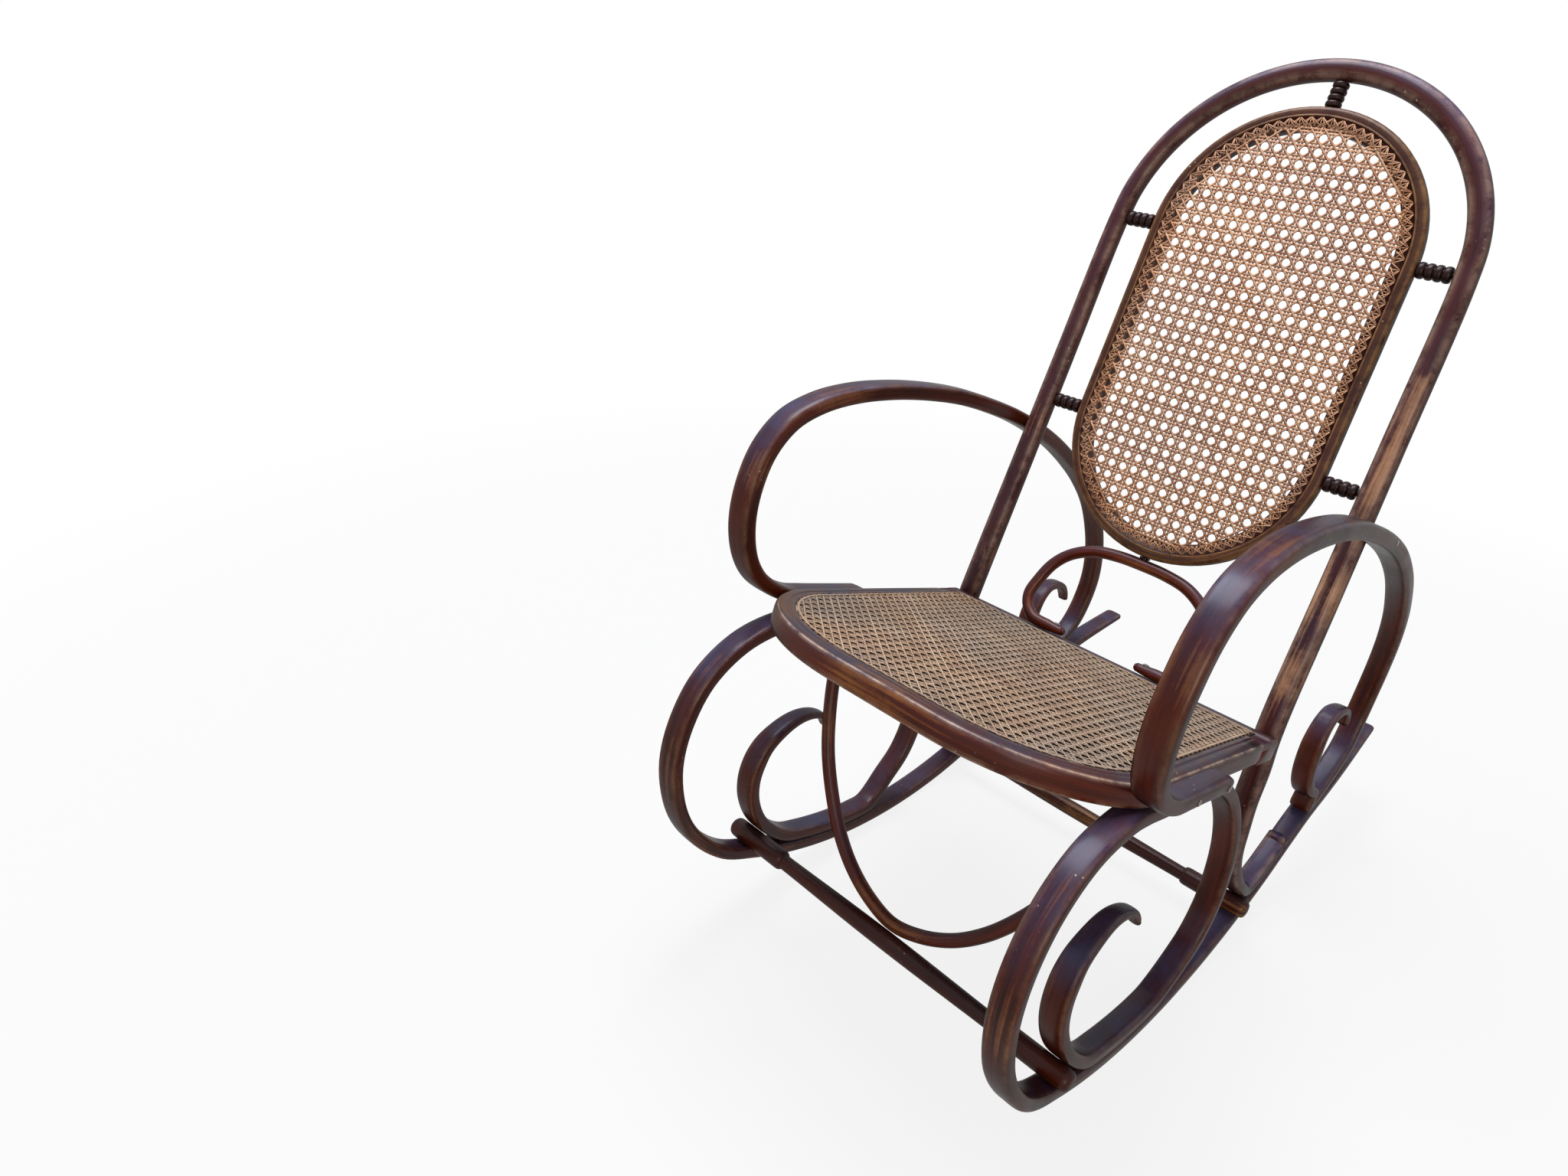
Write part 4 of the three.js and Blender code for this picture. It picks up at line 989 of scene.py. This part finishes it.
def woven(name, outline, pitch, width, pair_gap, lifted, middle, finish, under=0.0):
    """Sheet of woven cane inside an outline: a strand for every crossing line, and, where under is given,
    near-black strands below that paint the shade seen through the holes.
    """
    xs, ys = [p[0] for p in outline], [p[1] for p in outline]
    offset = (width + pair_gap) / 2
    half = math.sqrt(0.5)
    runs = []
    count = int(math.hypot(max(xs) - min(xs), max(ys) - min(ys)) / pitch) + 1
    for i in range(-count, count + 1):
        x, y = middle[0] + i * pitch, middle[1] + i * pitch
        for shift in (-offset, offset):
            runs += [((x + shift, middle[1]), (0, 1), LENGTHWISE_LEVEL, PAIR_WAVE, pitch, i, width),
                     ((middle[0], y + shift), (1, 0), CROSSWISE_LEVEL, PAIR_WAVE, pitch, i + 1, width)]
        between_pairs = (x + pitch / 2, middle[1])
        for way, level in SLANT_LEVELS.items():
            runs.append((between_pairs, (half, way * half), level, SLANT_WAVE, pitch * math.sqrt(2), i,
                         width * SLANT_WIDTH_SHARE))
        if under:
            runs.append((between_pairs, (0, 1), UNDER_LEVEL, 0, pitch, i, under))
    sheet = ([], [], [])
    for start, direction, level, wave, period, phase, strand_width in runs:
        side = (-direction[1], direction[0])
        found = crossings(outline, start, direction)
        for a, b in zip(found[::2], found[1::2]):
            if b - a < pitch * SHORTEST_SHARE:
                continue
            shade = random.random() if level > UNDER_LEVEL else UNDER_SHADE
            steps = max(2, round((b - a) / (period / 2)))
            stations = []
            for k in range(steps + 1):
                along = a + (b - a) * k / steps
                lift = level + wave * math.cos(math.pi * (2 * along / period + phase))
                if k in (0, steps):
                    lift = min(level, HELD_LEVEL)
                x, y = start[0] + direction[0] * along, start[1] + direction[1] * along
                stations.append((x, y, lift, side))
            add_strand(sheet, stations, strand_width, STRAND_HEIGHT, lifted, shade)
    return cane_piece(name, sheet, finish)


def along_path(path, level):
    """Stations of a strand that follows a path of points."""
    stations = []
    for before, point, after in zip(path[:1] + path, path, path[1:] + path[-1:]):
        length = math.hypot(after[0] - before[0], after[1] - before[1])
        side = (-(after[1] - before[1]) / length, (after[0] - before[0]) / length)
        stations.append((point[0], point[1], level, side))
    return stations


def bound_edge(name, edge_at, pitch, width, fan, bound, inner, outer, lifted, finish):
    """Edge of the cane: fans of strands that meet in the holes, with or without a binding strand."""
    sheet = ([], [], [])

    def closed_edge(inset):
        outline = edge_at(inset)
        return outline + outline[:1]

    if bound:
        binding = closed_edge((inner + outer) / 2 - bound * BINDING_SHIFT_SHARE)
        add_strand(sheet, along_path(binding, BINDING_LEVEL), bound, BINDING_HEIGHT, lifted, BINDING_SHADE)
    near, far = closed_edge(inner), closed_edge(outer)
    lengths = flat_lengths(near)

    def at_length(line, distance):
        distance = min(max(distance, 0.0), lengths[-1])
        k = min(max(bisect_left(lengths, distance), 1), len(lengths) - 1)
        share = (distance - lengths[k - 1]) / max(1e-9, lengths[k] - lengths[k - 1])
        a, b = line[k - 1], line[k]
        return (blend(a[0], b[0], share), blend(a[1], b[1], share))

    count = int(lengths[-1] / pitch)
    step = lengths[-1] / count
    for i in range(count):
        hole = (i + 0.5) * step
        for k, share in enumerate(fan):
            root = at_length(near, hole + FAN_ROOT_SHARE * step * share)
            path = [root, at_length(far, hole + step * share)]
            level = BINDING_LEVEL - FAN_STRAND_HEIGHT * (k % 3)
            add_strand(sheet, along_path(path, level), width, FAN_STRAND_HEIGHT, lifted, random.random())
    return cane_piece(name, sheet, finish)


def cane_finish(name, pale, tan, dark, grey, mixing):
    """Old split cane: every strand has a tone of its own, darker in patches and along its fibres."""
    material, tree = new_material(name)
    where = node(tree, "TexCoord")["Object"]
    strand = kept_value(tree, "strand")
    lit = spread(tree, strand, -1.0, 0.0)
    blotch = noise(tree, where, 32, 4, 0.65)
    fleck = noise(tree, where, 620, 3, 0.7)
    patchy = noise(tree, where, 5.5, 3, 0.5)
    factor = weighted(tree, (strand, 0.14), (blotch, 0.4), (fleck, 0.5))
    strands = ramp(tree, factor, [(0.26, dark), (0.5, tan), (0.74, pale)])
    # Strands below the weave take the painted hole shade.
    color = between(tree, lit, tone(PAINTED_HOLE_SHADE_COLOR), strands)
    greyed = product(tree, lit, product(tree, spread(tree, patchy, 0.4, 0.62), mixing))
    set_shader(tree, {
        "Base Color": between(tree, greyed, color, tone(grey)), "Specular IOR Level": 0.2,
        "Roughness": spread(tree, fleck, 0.2, 0.8, 0.42, 0.68),
        "Normal": node(tree, "Bump", {"Height": fleck, "Strength": 0.5, "Distance": 0.0004})["Normal"],
    })
    return material


seat_cane_finish = cane_finish("seat cane", "#d2b694", "#a8866a", "#5a4030", "#94877a", 0.6)


def seat_cane_outline(inset):
    return seat_edge(inset, -inset)


# Dark strands under the seat weave paint the shade seen through its holes.
seat_weave = woven("seat_weave", seat_cane_outline(RIM_FACE + CANE_EDGE), SEAT_PITCH, SEAT_STRAND,
                   SEAT_PAIR_GAP, on_seat, (0, -SEAT_DEPTH / 2), seat_cane_finish, under=SEAT_PITCH * 0.7)
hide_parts("seat_cane")
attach(seat_weave, "root")
seat_binding = bound_edge("seat_binding", seat_cane_outline, SEAT_PITCH, SEAT_FAN_STRAND, (-0.6, 0.6),
                          SEAT_BINDING, RIM_FACE + 0.0008, RIM_FACE + 0.008, on_seat, seat_cane_finish)
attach(seat_binding, "root")


# Back panel: a bent beech frame, round above and below, worn to a golden brown on its face, with a fine
# bead beside the cane. It is a plain closed ring.
PANEL_TOP_RADIUS = 0.161
PANEL_BOTTOM_RADIUS = 0.164
PANEL_LENGTH = 0.571
PANEL_FOOT = 0.138
PANEL_RAIL_DEPTH = 0.020
PANEL_FACE = 0.013
PANEL_ARC_STEPS = 44
PANEL_SIDE_STEPS = 18
FACE_WORN_REACH = 0.34
FACE_WORN_LEAST = 0.08
FACE_WORN_MORE = 0.34
PANEL_PROFILE = [
    [0.0130, 0.0077, 0.0], [0.0128, 0.0094, 0.3], [0.0121, 0.0101, 0.9], [0.0112, 0.0101, 0.9],
    [0.0104, 0.0095, 0.2], [0.0098, 0.0096, 0.1], [0.0055, 0.0099, 0.2], [0.0028, 0.0092, 0.8],
    [0.0010, 0.0072, 0.9], [0.0001, 0.0045, 0.4], [0.0, 0.0, 0.0], [0.0002, -0.0050, 0.0],
    [0.0016, -0.0082, 0.4], [0.0044, -0.0100, 0.2], [0.0135, -0.0100, 0.0], [0.0230, -0.0100, 0.1],
    [0.0256, -0.0084, 0.4], [0.0269, -0.0055, 0.2], [0.0270, 0.0020, 0.0], [0.0268, 0.0060, 0.3],
    [0.0256, 0.0077, 0.3],
]
panel_top = PANEL_FOOT + PANEL_LENGTH
panel_high = panel_top - PANEL_TOP_RADIUS
panel_low = PANEL_FOOT + PANEL_BOTTOM_RADIUS


def panel_edge(inset):
    """Closed outline of the panel, drawn in by an inset."""
    points = []
    for start, level, radius, next_level, next_radius in (
            (0, panel_high, PANEL_TOP_RADIUS, panel_low, PANEL_BOTTOM_RADIUS),
            (math.pi, panel_low, PANEL_BOTTOM_RADIUS, panel_high, PANEL_TOP_RADIUS)):
        for i in range(PANEL_ARC_STEPS + 1):
            turn = start + math.pi * i / PANEL_ARC_STEPS
            points.append(((radius - inset) * math.cos(turn), level + (radius - inset) * math.sin(turn)))
        side = math.cos(start + math.pi)
        for k in range(1, PANEL_SIDE_STEPS):
            share = k / PANEL_SIDE_STEPS
            reach = blend(radius, next_radius, share) - inset
            points.append((side * reach, blend(level, next_level, share)))
    return points


def on_panel(point, level):
    return in_back(point[0], point[1], level)


panel_stain = stained_wood("worn panel frame", "#1a0605", "#46201a", "#403038", "#92653a", "#a87c4c",
                           gloss=0.42, everywhere=0.03)
panel = profiled("panel_ring", PANEL_PROFILE, panel_edge, on_panel, panel_stain, closed=True)
face_front = settled(back_front) - settled(Vector((0, 0, 0)))
panel_foot = settled(in_back(0, PANEL_FOOT))
worn_face = []
for i, normal in enumerate(panel.data.vertex_normals):
    inset = PANEL_PROFILE[i % len(PANEL_PROFILE)][0]
    low = max(0.0, 1 - (panel.data.vertices[i].co - panel_foot).length / FACE_WORN_REACH)
    facing = max(0.0, normal.vector.dot(face_front)) if inset < PANEL_FACE - 0.0002 else 0.0
    worn_face.append((FACE_WORN_LEAST + FACE_WORN_MORE * low) * facing)
panel.data.attributes["rubbed"].data.foreach_set("value", worn_face)
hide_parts("back_panel_frame")
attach(panel, "root")


# Back cane: the same hand weave with a wider pitch, held in the panel's rebate, and laced round the edge.
BACK_PITCH = 0.016
BACK_STRAND = 0.0027
BACK_PAIR_GAP = 0.0013
LACE_PITCH = 0.0125
LACE_STRAND = 0.0013


def panel_level(point, level):
    return in_back(point[0], point[1], PANEL_RAIL_DEPTH / 2 + level)


back_cane_finish = cane_finish("back cane", "#dfb48c", "#aa7650", "#6a3d2a", "#8c7870", 0.3)
back_weave = woven("back_weave", panel_edge(PANEL_FACE + 0.0085), BACK_PITCH, BACK_STRAND, BACK_PAIR_GAP,
                   panel_level, (0, PANEL_FOOT + PANEL_LENGTH / 2), back_cane_finish)
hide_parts("back_cane")
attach(back_weave, "root")
back_binding = bound_edge("back_binding", panel_edge, LACE_PITCH, LACE_STRAND, (-1.15, -0.6, 0, 0.6, 1.15),
                          0.0, PANEL_FACE + 0.0010, PANEL_FACE + 0.0115, panel_level, back_cane_finish)
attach(back_binding, "root")


# Spacers: small turned pieces, stained almost black, that hold the panel in the hoop. Each is a row of
# beads with a tenon at both ends.
SPACER_RADIUS = 0.0095
SPACER_NECK = 0.0065
SPACER_BEADS = 4
SPACER_EASE = 0.0012
TENON_RADIUS = 0.0035
TENON_LENGTH = 0.007
SIDE_SPACER_SHARES = {"upper": 1, "lower": -0.025}
BEAD_POINTS = 7
BEAD_ROUNDNESS = 0.7
BEAD_NOTCH = 0.04

dark_stain = stained_wood("blackened turned wood", "#100504", "#2f140f", "#382c34", "#4a2c1c", "#6a5044",
                          gloss=0.28, everywhere=0.0, painted_sheen_share=0.4, edge_wear_and_highlight_share=0.2)


def post_width(rise):
    return blend(POST_WIDTH, ARCH_WIDTH, min(1, max(0, rise / arch_centre)))


def panel_half_width(rise):
    share = (rise - panel_low) / (panel_high - panel_low)
    return blend(PANEL_BOTTOM_RADIUS, PANEL_TOP_RADIUS, share)


def with_tenons(profile, length):
    """Adds a tenon at both ends to the radii and places of a turned piece."""
    far = length + TENON_LENGTH
    return ([(0.0, -TENON_LENGTH), (TENON_RADIUS, -TENON_LENGTH), (TENON_RADIUS, 0.0)] + profile
            + [(TENON_RADIUS, length), (TENON_RADIUS, far), (0.0, far)])


def spacer_profile(length):
    bead = length / SPACER_BEADS
    beads = []
    for i in range(SPACER_BEADS):
        for k in range(BEAD_POINTS + 1):
            turn = math.pi * k / BEAD_POINTS
            beads.append((blend(SPACER_NECK, SPACER_RADIUS, math.sin(turn) ** BEAD_ROUNDNESS),
                          bead * (i + BEAD_NOTCH + (1 - 2 * BEAD_NOTCH) * (1 - math.cos(turn)) / 2)))
    return with_tenons(beads, length)


spacers = []
for level, share in SIDE_SPACER_SHARES.items():
    rise = blend(panel_low, panel_high, share)
    start = panel_half_width(rise) + GAP
    length = post_across(rise) - post_width(rise) / 2 - SPACER_EASE - start
    for hand, side in SIDES.items():
        spacers.append((f"{level}_{hand}", in_back(side * start, rise), ACROSS * side, length))
spacers.append(("top", in_back(0, panel_top + GAP), back_up,
                ARCH_RISE - ARCH_WIDTH / 2 - SPACER_EASE - panel_top - GAP))
for name, start, direction, length in spacers:
    spacer = turned(f"beaded_{name}", spacer_profile(length), start, direction, dark_stain)
    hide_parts(f"spacer_{name}")
    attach(spacer, "root")


# Loop under the panel: a thin bent rod whose ends turn in and are screwed to the rear rail. A small collar
# pins its top to the panel.
LOOP_HALF_WIDTH = 0.126
LOOP_RISE = 0.127
LOOP_RADIUS = 0.008
LOOP_END_RADIUS = 0.005
LOOP_END_FULLNESS = 0.5
LOOP_END_ACROSS = 0.052
LOOP_SETBACK = 0.014
LOOP_FOOT_STEPS = 2
BOSS_RADIUS = 0.007
LOOP_SHARES = [
    [0.28, 0.99], [0.54, 0.94], [0.76, 0.81], [0.89, 0.64], [0.96, 0.42], [0.985, 0.24], [0.93, 0.11],
]
loop_setback = post_setback + LOOP_SETBACK
loop_foot = LOOP_RADIUS + GAP
half_loop = []
for across, up in LOOP_SHARES:
    point = in_back(across * LOOP_HALF_WIDTH, loop_foot + up * (LOOP_RISE - loop_foot))
    point.y -= loop_setback * (1 - up)
    half_loop.append(point)
for i in range(LOOP_FOOT_STEPS + 1):
    start = LOOP_HALF_WIDTH - LOOP_RADIUS * 3
    across = start + (LOOP_END_ACROSS - start) * i / LOOP_FOOT_STEPS
    height = SEAT_HEIGHT + loop_foot + (0 if i else LOOP_RADIUS / 4)
    half_loop.append(Vector((across, -LOOP_SETBACK, height)))
loop_stations = mirrored(half_loop[::-1]) + [in_back(0, LOOP_RISE)] + half_loop


def loop_section(start, end, centre):
    near = min(start, end)
    taper = min(1, near / (LOOP_RADIUS * 4))
    blunt = fullness(near, LOOP_END_RADIUS, LOOP_END_FULLNESS)
    return round_section(blunt * blend(LOOP_END_RADIUS, LOOP_RADIUS, taper))


loop_line = with_round_ends(smooth_line(loop_stations, ROD_PER_STATION), LOOP_END_RADIUS)
loop = bent_rod("panel_loop", loop_line, rod_across, loop_section, rod_stain)
rub(loop, [(0.0, 0.0, 0.530, 0.10, 0.3), (0.11, 0.0, 0.44, 0.06, 0.2), (-0.11, 0.0, 0.44, 0.06, 0.3)])
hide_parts("back_loop")
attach(loop, "root")

boss_foot = LOOP_RISE + LOOP_RADIUS + GAP
boss_height = PANEL_FOOT - GAP - boss_foot
boss_profile = with_tenons([
    (BOSS_RADIUS * 0.9, 0.0), (BOSS_RADIUS, boss_height * 0.3), (BOSS_RADIUS, boss_height * 0.7),
    (BOSS_RADIUS * 0.9, boss_height),
], boss_height)
boss = turned("collar", boss_profile, in_back(0, boss_foot), back_up, dark_stain)
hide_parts("panel_boss")
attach(boss, "root")


# Screws: slotted countersunk wood screws of dull iron, where the tabs meet the seat, the arms cross the
# posts and the loop stands on the rear rail. One is made, and the rest are copies.
SCREW_RADIUS = 0.0038
SCREW_HEIGHT = 0.0016
SCREW_POINTS = 24
SCREW_CREASE = math.radians(35)
SLOT_WIDTH = 0.0009
SLOT_DEPTH = 0.0009
TAB_ACROSS_SHARE = 0.960
TAB_SCREW_LIFT = 0.005
POST_CROSSING = (0.954, 0.018, 0.652)
LOOP_SCREW_ACROSS = 0.066
LOOP_SCREW_SINK = 0.0008

screw_iron, iron_tree = new_material("screw iron")
iron_noise = noise(iron_tree, node(iron_tree, "TexCoord")["Object"], 900, 4, 0.65)
set_shader(iron_tree, {
    "Base Color": ramp(iron_tree, iron_noise, [(0.35, "#3b3531"), (0.65, "#a39b93")]), "Metallic": 0.85,
    "Roughness": spread(iron_tree, iron_noise, 0.3, 0.7, 0.32, 0.6),
})

bpy.ops.object.select_all(action="DESELECT")
bpy.ops.mesh.primitive_cylinder_add(vertices=SCREW_POINTS, radius=SCREW_RADIUS, depth=SCREW_HEIGHT,
                                    location=(0, 0, 0))
screw = bpy.context.object
bpy.ops.object.mode_set(mode="EDIT")
for offset in (-SLOT_WIDTH / 2, SLOT_WIDTH / 2):
    bpy.ops.mesh.select_all(action="SELECT")
    bpy.ops.mesh.bisect(plane_co=(offset, 0, 0), plane_no=(1, 0, 0))
bpy.ops.mesh.select_all(action="DESELECT")
bpy.ops.object.mode_set(mode="OBJECT")
for polygon in screw.data.polygons:
    polygon.select = polygon.normal.z > 0.9 and abs(polygon.center.x) < SLOT_WIDTH / 2 + 0.00005
bpy.ops.object.mode_set(mode="EDIT")
bpy.ops.mesh.extrude_region_move(TRANSFORM_OT_translate={"value": (0, 0, -SLOT_DEPTH)})
bpy.ops.object.mode_set(mode="OBJECT")
bpy.ops.object.shade_smooth_by_angle(angle=SCREW_CREASE)
screw.data.materials.append(screw_iron)


def drive(name, point, outward, slot_turn):
    """Copy of the screw with its head flush at a point of the level chair, facing outward."""
    copy = new_object(name, screw.data.copy())
    at = settled(point)
    facing = (settled(point + outward) - at).normalized()
    turn = Vector((0, 0, 1)).rotation_difference(facing).to_matrix()
    cos, sin = math.cos(slot_turn), math.sin(slot_turn)
    for vertex in copy.data.vertices:
        x, y, z = vertex.co
        vertex.co = at + turn @ Vector((x * cos - y * sin, x * sin + y * cos, z))
    copy.data.update()
    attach(copy, "root")


tab_face = TAB_ACROSS_SHARE * HALF_WIDTH + STOCK_WIDTH / 2
post_face = POST_CROSSING[0] * HALF_WIDTH + STOCK_WIDTH / 2
loop_screw_height = SEAT_HEIGHT + 2 * LOOP_RADIUS - LOOP_SCREW_SINK
for hand, side in SIDES.items():
    for label, across, along, height, slot_turn in (
            ("tab_front", tab_face, -0.318, tab_height + TAB_SCREW_LIFT, 0.6),
            ("tab_rear", tab_face, -0.232, tab_height + TAB_SCREW_LIFT, 1.9),
            ("arm_post", post_face, POST_CROSSING[1], POST_CROSSING[2], 1.1)):
        drive(f"screw_{label}_{hand}", Vector((side * across, along, height)), ACROSS * side, slot_turn)
for hand, side in SIDES.items():
    point = Vector((side * LOOP_SCREW_ACROSS, -LOOP_SETBACK, loop_screw_height))
    drive(f"screw_loop_{hand}", point, Vector((0, 0, 1)), 0.5 * side)
bpy.data.objects.remove(screw)


# Studio: a pale floor that keeps the chair's shadow, a large soft lamp above and a weaker one in front.
bpy.ops.object.select_all(action="DESELECT")
bpy.ops.mesh.primitive_plane_add(size=80, location=(0, 0, 0))
floor = bpy.context.object
floor.name = "floor"


def seen(tree):
    """One for what the camera sees, straight or in a reflection, and nought for what lights the chair."""
    path = node(tree, "LightPath")
    mirrored_light = combine(tree, "MAXIMUM", path["Is Glossy Ray"], path["Is Transmission Ray"])
    return combine(tree, "MAXIMUM", path["Is Camera Ray"], mirrored_light)


pale, pale_tree = new_material("pale floor")
set_shader(pale_tree, {"Base Color": (0.62, 0.60, 0.58, 1), "Roughness": 0.9, "Specular IOR Level": 0.1})
white = node(pale_tree, "Emission", {"Color": (1, 1, 1, 1), "Strength": 1.0})
floor_place = node(pale_tree, "TexCoord")["Object"]
away = node(pale_tree, "VectorMath", {0: floor_place}, operation="LENGTH")["Value"]
whiteness = product(pale_tree, seen(pale_tree), spread(pale_tree, away, 0.8, 2.2, 0.85, 1.0))
matt = pale_tree.nodes["Principled BSDF"].outputs[0]
surface = node(pale_tree, "MixShader", {"Fac": whiteness, 1: matt, 2: white[0]})
pale_tree.links.new(surface[0], pale_tree.nodes["Material Output"].inputs["Surface"])
floor.data.materials.append(pale)

world = bpy.data.worlds.new("studio")
bpy.context.scene.world = world
world.use_nodes = True
world_tree = world.node_tree
backdrop = between(world_tree, seen(world_tree), (0.31, 0.32, 0.36, 1), (1, 1, 1, 1))
feed(world_tree, world_tree.nodes["Background"].inputs, {"Color": backdrop, "Strength": 1.0})

LAMP_AIM = Vector((0, 0, 0.45))
for name, location, size, energy, color in (
        ("overhead lamp", (-0.5, 0.1, 2.6), 1.4, 82, (0.88, 0.92, 1.0)),
        ("front lamp", (1.6, -2.4, 1.3), 1.2, 24, (1.0, 0.94, 0.88))):
    lamp_data = bpy.data.lights.new(name, "AREA")
    lamp_data.size = size
    lamp_data.energy = energy
    lamp_data.color = color
    lamp = new_object(name, lamp_data)
    lamp.location = location
    lamp.rotation_euler = (LAMP_AIM - Vector(location)).to_track_quat("-Z", "Y").to_euler()

bpy.context.scene.view_settings.view_transform = "Standard"
